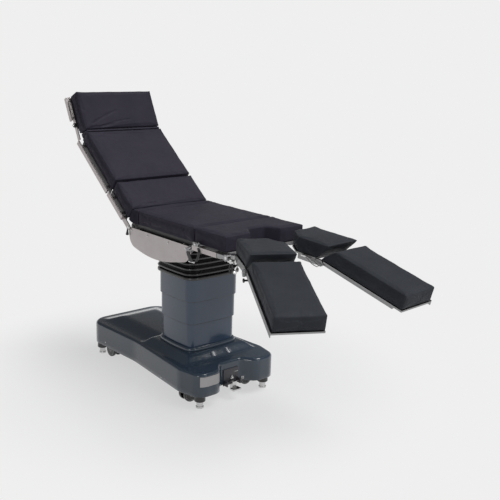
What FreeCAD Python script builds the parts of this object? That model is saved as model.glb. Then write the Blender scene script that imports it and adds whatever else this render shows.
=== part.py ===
"""Operating table with split leg sections, on a lift column and a lobed base.

Millimetres. +X runs from the head end to the leg end, +Z is up, and the table's centre line is
Y = 0. The origin is on the floor under the middle of the base.
"""
import FreeCAD, Part
import math
import os
import Sketcher

doc = FreeCAD.newDocument("operating_table")
sheet = doc.addObject("Spreadsheet::Sheet", "Sizes")

# Driving dimensions: name, millimetres or degrees, and what it is
SIZES = [
    ("skirt_low", 75, "height of the base cover's lower edge"),
    ("skirt_high", 203, "height of the base cover's shoulder"),
    ("deck_high", 240, "height of the raised spine of the base cover"),
    ("cover_wall", 4, "wall of the base cover"),
    ("cover_soft_edge", 16, "rounding of the base cover's shoulder"),
    ("rear_end", 578, "reach of the base cover behind the origin"),
    ("rear_half", 262, "half width of the base cover at its rear"),
    ("rear_round", 100, "corner radius of the base cover's rear"),
    ("waist_x", 105, "the waist lies this far behind the origin"),
    ("waist_half", 244, "half width of the base cover at its waist"),
    ("waist_sweep", 600, "radius of the base cover's waist"),
    ("lobe_x", 385, "where the front lobes are widest"),
    ("lobe_half", 288, "half width of the base cover over the lobes"),
    ("lobe_sweep", 150, "radius of the lobes where they are widest"),
    ("lobe_end", 532, "reach of the front lobes"),
    ("lobe_outer", 258, "outer corner of a front lobe"),
    ("lobe_inner", 128, "inner corner of a front lobe"),
    ("lobe_round", 68, "corner radius of a front lobe"),
    ("notch_x", 462, "depth line of the notch between the lobes"),
    ("notch_half", 70, "half width of the notch floor"),
    ("notch_round", 36, "corner radius of the notch floor"),
    ("spine_half", 104, "half width of the raised spine's top"),
    ("spine_slope", 95, "run of the slope beside the raised spine"),
    ("spine_rear", 470, "reach of the raised spine behind the origin"),
    ("seat_margin", 8, "the column's seat on the cover is this much larger than the column"),
    ("seat_slope", 55, "run of the slope round the column's seat"),
    ("frame_low", 100, "underside of the base frame"),
    ("frame_thick", 40, "height of the base frame's beams"),
    ("beam_half", 95, "half width of the base frame's long beam"),
    ("outrigger_half", 240, "half span of the base frame's cross beams"),
    ("outrigger_wide", 150, "width of the base frame's cross beams"),
    ("foot_front", 480, "front feet ahead of the origin"),
    ("foot_rear", 501, "rear feet behind the origin"),
    ("foot_side", 218, "feet beside the centre line"),
    ("sleeve_radius", 30, "radius of a foot's black sleeve"),
    ("sleeve_low", 38, "lower edge of a foot's sleeve"),
    ("tip_radius", 21, "radius of a foot's steel tip"),
    ("spindle_radius", 12, "radius of a foot's spindle"),
    ("running_gap", 0.05, "radial clearance of pins and spindles in their bores"),
    ("face_gap", 0.3, "clearance between faces that move past each other"),
    ("castor_x_front", 374, "front castor pivots ahead of the origin"),
    ("castor_x_rear", 384, "rear castors behind the origin"),
    ("castor_side", 190, "castors beside the centre line"),
    ("castor_trail", 25, "castor trail"),
    ("wheel_radius", 42, "radius of a castor wheel"),
    ("wheel_wide", 19, "width of one disc of a twin wheel"),
    ("wheel_lift", 4, "castor wheels clear the floor by this much"),
    ("fork_wide", 24, "width of a castor's body between its discs"),
    ("axle_radius", 6, "radius of a wheel axle"),
    ("stem_radius", 10, "radius of a castor's stem"),
    ("column_x", 167, "column centre ahead of the origin"),
    ("column_long", 160, "half length of the upper column cover"),
    ("column_wide", 174, "half width of the upper column cover"),
    ("column_bow", 9, "bow of the column covers' sides"),
    ("column_round", 52, "corner radius of the column covers"),
    ("cover_step", 7, "each column cover is this much smaller all round"),
    ("cover_sheet", 2.5, "sheet of the column covers"),
    ("collar_top", 262, "top of the trim collar round the column"),
    ("collar_wide", 16, "width of the trim collar"),
    ("middle_low", 391, "lower edge of the middle column cover"),
    ("upper_low", 518, "lower edge of the upper column cover"),
    ("lower_top", 436, "top of the lower column cover"),
    ("middle_top", 563, "top of the middle column cover"),
    ("head_low", 700, "underside of the column head"),
    ("head_thick", 14, "thickness of the column head's plate"),
    ("tube_half", 75, "half width of the fixed lift tube"),
    ("tube_wall", 6, "wall of the lift tubes"),
    ("tube_gap", 3, "gap between lift tubes, filled by guide pads"),
    ("fixed_top", 400, "top of the fixed lift tube"),
    ("middle_tube_low", 265, "lower end of the middle lift tube"),
    ("top_tube_low", 400, "lower end of the upper lift tube"),
    ("cylinder_top", 430, "top of the lift cylinder"),
    ("cylinder_low", 62, "lower end of the lift cylinder"),
    ("cylinder_radius", 28, "outside radius of the lift cylinder"),
    ("rod_radius", 16, "radius of the lift rod"),
    ("rod_low", 320, "lower end of the lift rod"),
    ("tilt_drop", 45, "both tilt axes below the seat's beams"),
    ("tilt_block", 30, "half size of the tilt block"),
    ("trunnion_radius", 16, "radius of the tilt trunnions"),
    ("ear_near", 68, "inner face of the tilt ears from the column axis"),
    ("ear_thick", 22, "thickness of the tilt ears"),
    ("bellows_low", 640, "lower edge of the bellows"),
    ("bellows_out", 15, "the bellows stand this far outside the upper cover"),
    ("bellows_wall", 11, "depth of the bellows' folds"),
    ("fold_x", -88, "fold between seat and back, on the pads' top"),
    ("pad_top", 965, "height of the seat pad's top"),
    ("pad_thick", 80, "thickness of the body pads"),
    ("pad_half", 260, "half width of the body pads"),
    ("board_thick", 12, "thickness of the boards under the pads"),
    ("board_inset", 20, "the boards end this far inside the pads' edges"),
    ("seam", 1, "gap between neighbouring pads"),
    ("seat_long", 557, "length of the seat section"),
    ("bridge_long", 54, "length of the soft bridge at the fold"),
    ("beam_wide", 30, "width of the section beams"),
    ("seat_deep", 55, "depth of the seat frame under its pad"),
    ("plate_out", 15, "side plates and head bars beside the boards' edges"),
    ("plate_thick", 6, "thickness of the D-shaped side plates"),
    ("plate_top", 862, "top edge of the side plates"),
    ("plate_low", 720, "lowest point of the side plates"),
    ("plate_sweep", 700, "radius of the side plates' lower edge"),
    ("plate_corner", 70, "radius of the side plates' lower corners"),
    ("plate_head", 34, "the side plates start this far before the fold"),
    ("plate_short", 27, "the side plates end this far before the seat pad does"),
    ("rail_thick", 10, "thickness of the accessory rails"),
    ("rail_high", 25, "height of the accessory rails"),
    ("rail_out", 32, "accessory rails beside the boards' edges"),
    ("rail_drop", 2, "the rails start this far under the pads"),
    ("spacer_radius", 8, "radius of the rail spacers"),
    ("pelvis_long", 241, "length of the pelvic section"),
    ("cut_deep", 70, "depth of the pelvic cut-out"),
    ("cut_mouth", 102, "half width of the cut-out at its mouth"),
    ("cut_floor", 52, "half width of the cut-out at its floor"),
    ("cut_round", 24, "corner radius of the cut-out"),
    ("release_back", 17, "release shaft before the end of the seat pad"),
    ("release_drop", 112, "release shaft under the pads' top"),
    ("release_reach", 66, "length of the release levers below their shaft"),
    ("back_angle", 38, "back section above the horizontal"),
    ("back_pivot_x", -30, "back pivot past the fold"),
    ("back_pivot_drop", 105, "back pivot under the pads' top"),
    ("lower_back_long", 214, "length of the lower back section"),
    ("back_long", 626, "length of both back sections"),
    ("bend_relief", 5, "mitre of the pads at the upper back joint"),
    ("head_relief", 14, "mitre of the upper back pad at the head joint"),
    ("head_angle", 26, "head section above the back sections"),
    ("head_pivot_back", 6, "head pivot before the end of the back"),
    ("head_pivot_drop", 95, "head pivot under the pads' surface"),
    ("head_long", 236, "length of the head section"),
    ("lug_radius", 20, "radius of the hinge lugs"),
    ("lug_thick", 12, "thickness of the hinge lugs"),
    ("pin_radius", 8, "radius of the hinge pins"),
    ("joint_radius", 13, "radius of the lugs of the joints within the back"),
    ("joint_pin", 6, "radius of the pins of the joints within the back"),
    ("hip_eye", 16, "radius of the hip clevis' eyes"),
    ("hip_swivel", 20, "radius of a thigh's lug on its splay pivot"),
    ("carrier_half", 185, "half length of the seat's carrier plate"),
    ("web_out", 128, "cross webs of the seat from the column's axis"),
    ("web_thick", 12, "thickness of those webs"),
    ("web_drop", 33, "the webs end this far above the seat frame's underside"),
    ("carrier_flat", 80, "half of the carrier plate's sides between its cut corners"),
    ("unit_rear", 430, "power unit starts this far behind the middle"),
    ("unit_front", 190, "power unit ends this far behind the middle"),
    ("panel_half", 50, "half width of the panel in the notch"),
    ("panel_high", 86, "panel in the notch above the skirt's lower edge"),
    ("handle_side", 4, "lock handle beside the centre line"),
    ("handle_rise", 34, "lock handle above the skirt's lower edge"),
    ("foot_travel", 10, "how far the feet rise when the brake is let off"),
    ("hip_ahead", 35, "hip pivots past the pelvic section"),
    ("hip_out", 16, "hip pivots beside the boards' edges"),
    ("hip_drop", 93, "hip pivots under the pads' top"),
    ("hip_reach", 37, "from the hip pivot to the splay pivot"),
    ("hip_rise", 26, "from the hip pivot up to the thigh pad's underside"),
    ("near_splay", 28.3, "the near leg is splayed by this much"),
    ("far_splay", 2.8, "the far leg is splayed by this much"),
    ("near_pitch", 1.1, "the near thigh hangs by this much"),
    ("far_pitch", 3.6, "the far thigh hangs by this much"),
    ("near_knee", 14.2, "the near calf hangs below its thigh"),
    ("far_knee", 11.7, "the far calf hangs below its thigh"),
    ("leg_wide", 224, "width of a leg pad"),
    ("leg_thick", 76, "thickness of a leg pad"),
    ("thigh_long", 290, "length of a thigh pad's top"),
    ("leg_bevel", 72, "run of the slanting faces at the knee"),
    ("corner_cross", 71, "cut corner of a thigh pad, across"),
    ("corner_along", 98, "cut corner of a thigh pad, along"),
    ("knee_ahead", 24, "knee pivot ahead of the thigh pad's underside"),
    ("knee_drop", 21, "knee pivot under the pads"),
    ("calf_long", 420, "length of a calf pad's top"),
    ("leg_board", 8, "thickness of the boards under the leg pads"),
    ("bar_wide", 12, "width of a leg's side bars"),
    ("bar_high", 26, "height of a leg's side bars"),
    ("bar_short", 62, "a calf's side bars end this far before its pad"),
    ("knob_radius", 17, "radius of the clamp knobs"),
]

for row, (name, amount, note) in enumerate(SIZES, 1):
    sheet.set(f"A{row}", name.replace("_", " "))
    sheet.set(f"B{row}", str(amount))
    sheet.set(f"C{row}", note)
    sheet.setAlias(f"B{row}", name)
doc.recompute()


class Size:
    """A number together with the spreadsheet expression that gives it."""

    def __init__(self, value, text):
        self.value = float(value)
        self.text = text

    def __add__(self, other):
        other = size(other)
        return Size(self.value + other.value, f"({self.text} + {other.text})")

    def __sub__(self, other):
        other = size(other)
        return Size(self.value - other.value, f"({self.text} - {other.text})")

    def __mul__(self, other):
        other = size(other)
        return Size(self.value * other.value, f"({self.text} * {other.text})")

    def __truediv__(self, other):
        other = size(other)
        return Size(self.value / other.value, f"({self.text} / {other.text})")

    def __neg__(self):
        return Size(-self.value, f"(0 - {self.text})")

    def __radd__(self, other):
        return size(other) + self

    def __rsub__(self, other):
        return size(other) - self

    def __rmul__(self, other):
        return size(other) * self


def size(amount):
    """Return a plain number as a Size, and a Size as it is."""
    return amount if isinstance(amount, Size) else Size(amount, f"{float(amount):.6f}")


class Sheet:
    """Gives each driving dimension as a Size, by its name, and what follows from them."""

    def __init__(self):
        for name, amount, _ in SIZES:
            setattr(self, name, Size(amount, f"Sizes.{name}"))
        self.board_half = self.pad_half - self.board_inset
        self.beam_in = self.board_half - self.beam_wide
        self.plate_in = self.board_half + self.plate_out
        self.rail_in = self.board_half + self.rail_out
        self.hip_y = self.board_half + self.hip_out
        self.tilt_height = self.pad_top - self.pad_thick - self.seat_deep - self.tilt_drop
        self.release_x = self.seat_long - self.release_back
        self.hip_x = self.seat_long + self.pelvis_long + self.hip_ahead
        self.plate_foot = self.seat_long - self.plate_short


S = Sheet()
parts = []


# Placing pieces in the frame of their section
def placement_text(frame, at=(0, 0, 0), turns=()):
    """Return the expression of a place in a section's frame, with turns about its axes."""
    x, y, z = (size(v).text for v in at)
    text = f"placement(vector({x}; {y}; {z}); rotation(vector(0; 0; 1); 0))"
    for axis, angle in turns:
        axis_text = "; ".join(str(v) for v in axis)
        text += f" * placement(vector(0; 0; 0); rotation(vector({axis_text}); {size(angle).text}))"
    return f"{frame.Name}.Placement * {text}" if frame else text


def section_frame(name, frame, at, turns=()):
    """Add the frame of a section, which its pieces are placed in."""
    made = doc.addObject("App::Placement", name)
    made.setExpression("Placement", placement_text(frame, at, turns))
    doc.recompute()
    return made


X_AXIS, Y_AXIS, Z_AXIS = (1, 0, 0), (0, 1, 0), (0, 0, 1)


# Solids
def block(frame, x, y, z):
    """Add a box from its ranges along the frame's axes."""
    made = doc.addObject("Part::Box", "block")
    for prop, (low, high) in zip(("Length", "Width", "Height"), (x, y, z)):
        made.setExpression(prop, (size(high) - low).text)
    made.setExpression("Placement", placement_text(frame, (x[0], y[0], z[0])))
    return made


ROD_TURNS = {"x": ((Y_AXIS, 90),), "y": ((X_AXIS, -90),), "z": ()}


def rod(frame, axis, radius, span, at):
    """Add a cylinder along an axis, over a span, at its two other coordinates."""
    made = doc.addObject("Part::Cylinder", "rod")
    made.setExpression("Radius", size(radius).text)
    made.setExpression("Height", (size(span[1]) - span[0]).text)
    place = list(at)
    place.insert("xyz".index(axis), span[0])
    made.setExpression("Placement", placement_text(frame, place, ROD_TURNS[axis]))
    return made


PROFILE_TURNS = {"x": (((1, 1, 1), 120),), "y": ((X_AXIS, 90),), "z": ()}


def profile(frame, axis, corners, span, bows=(), rounds=()):
    """Extrude a closed outline along an axis.

    The corners are given in the plane across the axis, so x and z for the y axis. bows gives
    the sagitta of a bowed side by the number of its first corner, and rounds the radius of the
    upright edge at a corner.
    """
    body = doc.addObject("PartDesign::Body", "profile")
    sketch = body.newObject("Sketcher::SketchObject", "outline")
    plane = [f for f in body.Origin.OriginFeatures if f.Role == "XY_Plane"][0]
    sketch.AttachmentSupport = [(plane, "")]
    sketch.MapMode = "FlatFace"
    corners = [(size(a), size(b)) for a, b in corners]
    bows, rounds = dict(bows), dict(rounds)
    points = [FreeCAD.Vector(a.value, b.value, 0) for a, b in corners]
    count = len(points)
    starts = []
    for i, start in enumerate(points):
        end = points[(i + 1) % count]
        if i in bows:
            side = end - start
            out = FreeCAD.Vector(side.y, -side.x, 0).normalize()
            edge = Part.Arc(start, (start + end) * 0.5 + out * size(bows[i]).value, end)
        else:
            edge = Part.LineSegment(start, end)
        sketch.addGeometry(edge, False)
        starts.append(1 if (sketch.Geometry[i].StartPoint - start).Length < 1e-6 else 2)
    for i in range(count):
        after = (i + 1) % count
        sketch.addConstraint(
            Sketcher.Constraint("Coincident", i, 3 - starts[i], after, starts[after]))
    for i, (a, b) in enumerate(corners):
        for kind, amount in (("DistanceX", a), ("DistanceY", b)):
            number = sketch.addConstraint(
                Sketcher.Constraint(kind, -1, 1, i, starts[i], amount.value))
            sketch.setExpression(f"Constraints[{number}]", amount.text)
    for i, bow in bows.items():
        (a, b), (c, d) = corners[i], corners[(i + 1) % count]
        chord = c - a if abs(c.value - a.value) > abs(d.value - b.value) else d - b
        radius = chord * chord / 8 / bow + size(bow) / 2
        number = sketch.addConstraint(Sketcher.Constraint("Radius", i, radius.value))
        sketch.setExpression(f"Constraints[{number}]", radius.text)
    feature = body.newObject("PartDesign::Pad", "pad")
    feature.Profile = sketch
    feature.setExpression("Length", (size(span[1]) - span[0]).text)
    doc.recompute()
    for radius in sorted({size(r).text for r in rounds.values()}):
        wanted = [points[i] for i, r in rounds.items() if size(r).text == radius]
        edges = upright_edges(feature.Shape, wanted)
        rounding = body.newObject("PartDesign::Fillet", "rounding")
        rounding.Base = (feature, edges)
        rounding.setExpression("Radius", radius)
        doc.recompute()
        feature = rounding
    turns = PROFILE_TURNS[axis]
    at = {"x": (span[0], 0, 0), "y": (0, span[1], 0), "z": (0, 0, span[0])}[axis]
    body.setExpression("Placement", placement_text(frame, at, turns))
    return body


def upright_edges(shape, points):
    """Name the edges that stand on the given corners of an extruded outline."""
    names = []
    for number, edge in enumerate(shape.Edges, 1):
        ends = [v.Point for v in edge.Vertexes]
        if len(ends) < 2 or abs(ends[0].z - ends[1].z) < 1e-3:
            continue
        for point in points:
            if all(math.hypot(e.x - point.x, e.y - point.y) < 1e-3 for e in ends):
                names.append(f"Edge{number}")
    return names


def join(*things):
    """Fuse touching solids into one."""
    made = doc.addObject("Part::MultiFuse", "join")
    made.Shapes = list(things)
    return made


def group(*things):
    """Keep like solids together as one node."""
    made = doc.addObject("Part::Compound", "group")
    made.Links = list(things)
    return made


def remove(base, *tools):
    """Cut the tools out of a solid."""
    made = doc.addObject("Part::Cut", "cut")
    made.Base = base
    made.Tool = join(*tools) if len(tools) > 1 else tools[0]
    return made


def part(label, thing):
    """Name a finished sub-part; its label names its file."""
    thing.Label = label
    parts.append(thing)
    return thing


def both(make, *sides):
    """Make a piece for each side of the centre line and return the list."""
    return [make(side) for side in (sides or (-1, 1))]


# Base cover: one moulded shell with a rounded rear, a waist and two front lobes
def base_outline(inset):
    """Return the cover's outline, drawn in by an inset."""
    half = [
        (-S.rear_end + inset, S.rear_half - inset),
        (-S.waist_x, S.waist_half - inset),
        (S.lobe_x, S.lobe_half - inset),
        (S.lobe_end - inset, S.lobe_outer - inset),
        (S.lobe_end - inset, S.lobe_inner + inset),
        (S.notch_x - inset, S.notch_half),
    ]
    return [(x, -y) for x, y in half] + [(x, y) for x, y in reversed(half)]


def base_rounds(inset):
    """Return the radii at the cover's corners, drawn in by an inset."""
    half = {0: S.rear_round - inset, 1: S.waist_sweep, 2: S.lobe_sweep, 3: S.lobe_round - inset,
            4: S.lobe_round - inset, 5: S.notch_round}
    return {**half, **{11 - i: r for i, r in half.items()}}


def column_outline(shrink):
    """Return the column's outline, made smaller all round, with its bowed sides."""
    x0 = S.column_x - S.column_long + S.column_bow + shrink
    x1 = S.column_x + S.column_long - S.column_bow - shrink
    y1 = S.column_wide - S.column_bow - shrink
    return [(x0, -y1), (x1, -y1), (x1, y1), (x0, y1)]


def column_ring(shrink, wall, z):
    """Add a bowed rectangular tube round the column axis."""
    bows = {i: S.column_bow for i in range(4)}
    outer = profile(None, "z", column_outline(shrink), z, bows,
                    {i: S.column_round - shrink for i in range(4)})
    inner = profile(None, "z", column_outline(shrink + wall), (z[0] - 1, z[1] + 1), bows,
                    {i: S.column_round - shrink - wall for i in range(4)})
    return remove(outer, inner)


def sloped_block(low_x, top_x, low_half, top_half, low, high):
    """Add a block with slopes on all its sides, the same on both sides of the centre line."""
    made = doc.addObject("Part::Wedge", "sloped")
    limits = {"Xmin": low_x[0], "Xmax": low_x[1], "X2min": top_x[0], "X2max": top_x[1],
              "Zmin": -low_half, "Zmax": low_half, "Z2min": -top_half, "Z2max": top_half,
              "Ymin": size(0), "Ymax": high - low}
    for prop, amount in limits.items():
        made.setExpression(prop, amount.text)
    made.setExpression("Placement", placement_text(None, (0, 0, low), ((X_AXIS, 90),)))
    return made


def raised_deck(inset, low, high):
    """Add the cover's raised parts: the spine and the seat of the column."""
    rear, run = -S.spine_rear + inset, S.spine_slope
    spine = sloped_block((rear - run / 2, S.column_x), (rear, S.column_x),
                         S.spine_half + run - inset, S.spine_half - inset, low, high)
    seat_long = S.column_long + S.seat_margin - inset
    seat_wide = S.column_wide + S.seat_margin - inset
    skirt = S.seat_slope
    seat = sloped_block((S.column_x - seat_long - skirt, S.column_x + seat_long + skirt),
                        (S.column_x - seat_long, S.column_x + seat_long),
                        seat_wide + skirt, seat_wide, low, high)
    return spine, seat


def cover_block(inset, z, soft):
    """Extrude the cover's outline, with its upper edge rounded."""
    body = profile(None, "z", base_outline(inset), z, rounds=base_rounds(inset))
    sharp = body.Tip
    top = [f"Edge{i}" for i, e in enumerate(sharp.Shape.Edges, 1)
           if e.BoundBox.ZMin > (size(z[1]) - z[0]).value - 1e-3]
    softened = body.newObject("PartDesign::Fillet", "shoulder")
    softened.Base = (sharp, top)
    softened.setExpression("Radius", soft.text)
    return body


def make_base_cover():
    shell = cover_block(size(0), (S.skirt_low, S.skirt_high), S.cover_soft_edge)
    hollow = cover_block(S.cover_wall, (S.skirt_low - 1, S.skirt_high - S.cover_wall),
                         S.cover_soft_edge - S.cover_wall)
    spine_low = S.skirt_high - S.cover_wall
    outer = join(shell, *raised_deck(size(0), spine_low, S.deck_high))
    inner = join(hollow, *raised_deck(S.cover_wall * 2, spine_low - 1,
                                      S.deck_high - S.cover_wall))
    hole = profile(None, "z", column_outline(2 * S.cover_step), (S.skirt_high - 40, S.deck_high + 5),
                   {i: S.column_bow for i in range(4)},
                   {i: S.column_round - 2 * S.cover_step for i in range(4)})
    part("base_cover", remove(outer, inner, hole))


def make_base_frame():
    low, high = S.frame_low, S.frame_low + S.frame_thick
    front = S.foot_front - S.outrigger_wide + S.sleeve_radius, S.foot_front + S.sleeve_radius - 2
    rear = -S.foot_rear - S.sleeve_radius + 2, -S.foot_rear - S.sleeve_radius + S.outrigger_wide
    beam = block(None, (rear[0] + 10, S.notch_x - 30), (-S.beam_half, S.beam_half), (low, high))
    cross_front = both(lambda s: outrigger(front, s, low, high))
    cross_rear = both(lambda s: outrigger(rear, s, low, high))
    holes = [rod(None, "z", S.spindle_radius + S.running_gap, (low - 1, high + 1), at)
             for at in foot_places()]
    stems = [rod(None, "z", S.stem_radius + S.running_gap, (low - 1, high + 1),
                 (S.castor_x_front, s * S.castor_side)) for s in (-1, 1)]
    well = rod(None, "z", S.cylinder_radius + S.face_gap, (low - 1, high + 1), (S.column_x, 0))
    posts = [rod(None, "z", 11, (high - 5, S.skirt_high - S.cover_wall - S.face_gap),
                 (x, s * (S.foot_side - 3)))
             for x in (S.foot_front - 50, -S.foot_rear + 50) for s in (-1, 1)]
    part("base_frame", remove(join(beam, *cross_front, *cross_rear, *posts),
                              well, *holes, *stems))


def outrigger(x, side, low, high):
    """Add half a cross beam of the base frame; it narrows towards the long beam."""
    y0, y1 = S.beam_half - 5, S.outrigger_half
    shy = 60 if size(x[1]).value > 0 else -60
    a, b = (x[0], x[1]) if shy > 0 else (x[1], x[0])
    corners = [(a, y0), (b - shy, y0), (b, y0 + 75), (b, y1), (a, y1)]
    if side < 0:
        corners = [(cx, -size(cy)) for cx, cy in corners]
    if (side < 0) == (shy > 0):
        corners = corners[::-1]
    outer = [i for i, (cx, cy) in enumerate(corners) if abs(size(cy).value) > 200]
    return profile(None, "z", corners, (low, high), rounds={i: 40 for i in outer})


def foot_places():
    return [(x, s * S.foot_side) for x in (-S.foot_rear, S.foot_front) for s in (-1, 1)]


def make_feet():
    sleeves, tips = [], []
    for at in foot_places():
        shell = rod(None, "z", S.sleeve_radius, (S.sleeve_low, S.frame_low), at)
        bore = rod(None, "z", S.spindle_radius + S.running_gap,
                   (S.sleeve_low - 1, S.frame_low + 1), at)
        pocket = rod(None, "z", S.tip_radius - 3 + S.face_gap,
                     (S.sleeve_low - 1, S.sleeve_low + S.foot_travel + S.face_gap), at)
        sleeves.append(remove(shell, bore, pocket))
        tip = rod(None, "z", S.tip_radius, (0, S.sleeve_low - 14), at)
        neck = rod(None, "z", S.tip_radius - 3, (0, S.sleeve_low - S.face_gap), at)
        spindle = rod(None, "z", S.spindle_radius, (0, S.frame_low + S.frame_thick + 12), at)
        tips.append(join(tip, neck, spindle))
    part("foot_sleeves", group(*sleeves))
    part("foot_tips", group(*tips))


# Castors: twin discs on one axle, either side of a body with a stem
def castor_frame(name, x, side, turn):
    centre = section_frame(name, None, (x, side * S.castor_side, 0), ((Z_AXIS, turn),))
    return centre


def castor_body(frame):
    """Add a castor's body; it trails along -X of its frame."""
    axle_z = S.wheel_radius + S.wheel_lift
    half = S.fork_wide / 2
    top = S.frame_low - S.face_gap
    cheek = block(frame, (-S.castor_trail - 16, 16), (-half, half), (axle_z - 16, top - 2))
    plate = rod(frame, "z", 30, (axle_z + S.wheel_radius + 1, top), (0, 0))
    bore = rod(frame, "y", S.axle_radius + S.running_gap, (-half - 1, half + 1),
               (-S.castor_trail, axle_z))
    return join(remove(cheek, bore), plate)


def castor_wheel(frame):
    axle_z = S.wheel_radius + S.wheel_lift
    half = S.fork_wide / 2 + S.face_gap
    web = S.wheel_wide - 5
    at = (-S.castor_trail, axle_z)
    discs = [remove(rod(frame, "y", S.wheel_radius, span, at),
                    rod(frame, "y", S.wheel_radius - 13, hollow, at))
             for span, hollow in (((half, half + S.wheel_wide), (half + web, half + 40)),
                                  ((-half - S.wheel_wide, -half), (-half - 40, -half - web)))]
    axle = rod(frame, "y", S.axle_radius, (-half - web + 2, half + web - 2), at)
    return join(axle, *discs)


def make_castors():
    fixed = []
    for place, x in (("front", S.castor_x_front), ("rear", -S.castor_x_rear)):
        for hand, side in (("near", -1), ("far", 1)):
            turn = 90 if place == "front" else 0
            frame = castor_frame(f"castor_{place}_{hand}", x, side, turn)
            body = castor_body(frame)
            if place == "front":
                stem = rod(frame, "z", S.stem_radius,
                           (S.frame_low - 12, S.frame_low + S.frame_thick), (0, 0))
                part(f"castor_body_{hand}", join(body, stem))
            else:
                seat = rod(frame, "z", 22, (S.frame_low - 4, S.frame_low), (0, 0))
                fixed.append(join(body, seat))
            part(f"castor_wheel_{place}_{hand}", castor_wheel(frame))
    part("rear_castor_bodies", group(*fixed))


# What stands in and on the base: power unit, pedal panel, label plate
def make_base_fittings():
    top = S.frame_low + S.frame_thick
    part("power_unit", block(None, (-S.unit_rear, -S.unit_front), (-S.beam_half + 10, S.beam_half - 10),
                             (top, S.skirt_high - 20)))
    notch = S.notch_x
    panel = block(None, (notch, notch + 5), (-S.panel_half, S.panel_half),
                  (S.skirt_low - 6, S.skirt_low + S.panel_high))
    pivot_at = (notch + 24, S.skirt_low + 12)
    cheeks = [block(None, (notch + 4, notch + 34), y, (S.skirt_low - 2, S.skirt_low + 26))
              for y in ((-S.panel_half + 2, -S.panel_half + 8), (S.panel_half - 8, S.panel_half - 2))]
    pivot = rod(None, "y", 4, (-S.panel_half + 2, S.panel_half - 2), pivot_at)
    handle_at = (S.handle_side, S.skirt_low + S.handle_rise)
    knob_hole = rod(None, "x", 4 + S.running_gap, (notch - 1, notch + 6), handle_at)
    part("pedal_bracket", join(remove(join(panel, *cheeks), knob_hole), pivot))
    tread = block(None, (notch + 30, notch + 64), (-26, 26), (S.skirt_low - 22, S.skirt_low - 14))
    arm = block(None, (notch + 16, notch + 38), (-14, 14), (S.skirt_low - 20, S.skirt_low + 20))
    bore = rod(None, "y", 4 + S.running_gap, (-15, 15), pivot_at)
    part("brake_pedal", remove(join(tread, arm), bore))
    hub = rod(None, "x", 9, (notch + 5 + S.face_gap, notch + 16), handle_at)
    stem = rod(None, "x", 4, (notch + S.face_gap, notch + 8), handle_at)
    wings = [profile(section_frame(f"wing_{i}", None, (notch + 8, *handle_at),
                                   ((X_AXIS, 120 * i),)),
                     "x", [(-4, 0), (4, 0), (3, 17), (-3, 17)], (0, 6)) for i in range(3)]
    part("lock_handle", join(hub, stem, *wings))
    z = (S.skirt_low + 57, S.skirt_high - 17)
    skin = remove(profile(None, "z", base_outline(size(-1)), z, rounds=base_rounds(size(-1))),
                  profile(None, "z", base_outline(size(0)), (z[0] - 1, z[1] + 1),
                          rounds=base_rounds(size(0))))
    window = block(None, (S.notch_x + 30, S.lobe_end + 5), (-S.lobe_outer + 12, -S.lobe_inner + 10), z)
    made = doc.addObject("Part::Common", "label")
    made.Base, made.Tool = skin, window
    part("label_plate", made)


# Column: nested covers, lift tubes and the lift cylinder
def square_tube(half, wall, z):
    outer = block(None, (S.column_x - half, S.column_x + half), (-half, half), z)
    inner_half = half - wall
    inner = block(None, (S.column_x - inner_half, S.column_x + inner_half),
                  (-inner_half, inner_half), (z[0] - 1, z[1] + 1))
    return remove(outer, inner)


def guide_pads(half, z):
    """Add slide pads on the inner faces of a lift tube whose inner half width is given."""
    deep = S.tube_gap - S.face_gap
    pads = []
    for s in (-1, 1):
        face = (S.column_x + half - deep, S.column_x + half) if s > 0 else (
            S.column_x - half, S.column_x - half + deep)
        pads.append(block(None, face, (-25, 25), z))
        face = (half - deep, half) if s > 0 else (-half, -half + deep)
        pads.append(block(None, (S.column_x - 25, S.column_x + 25), face, z))
    return pads


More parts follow.
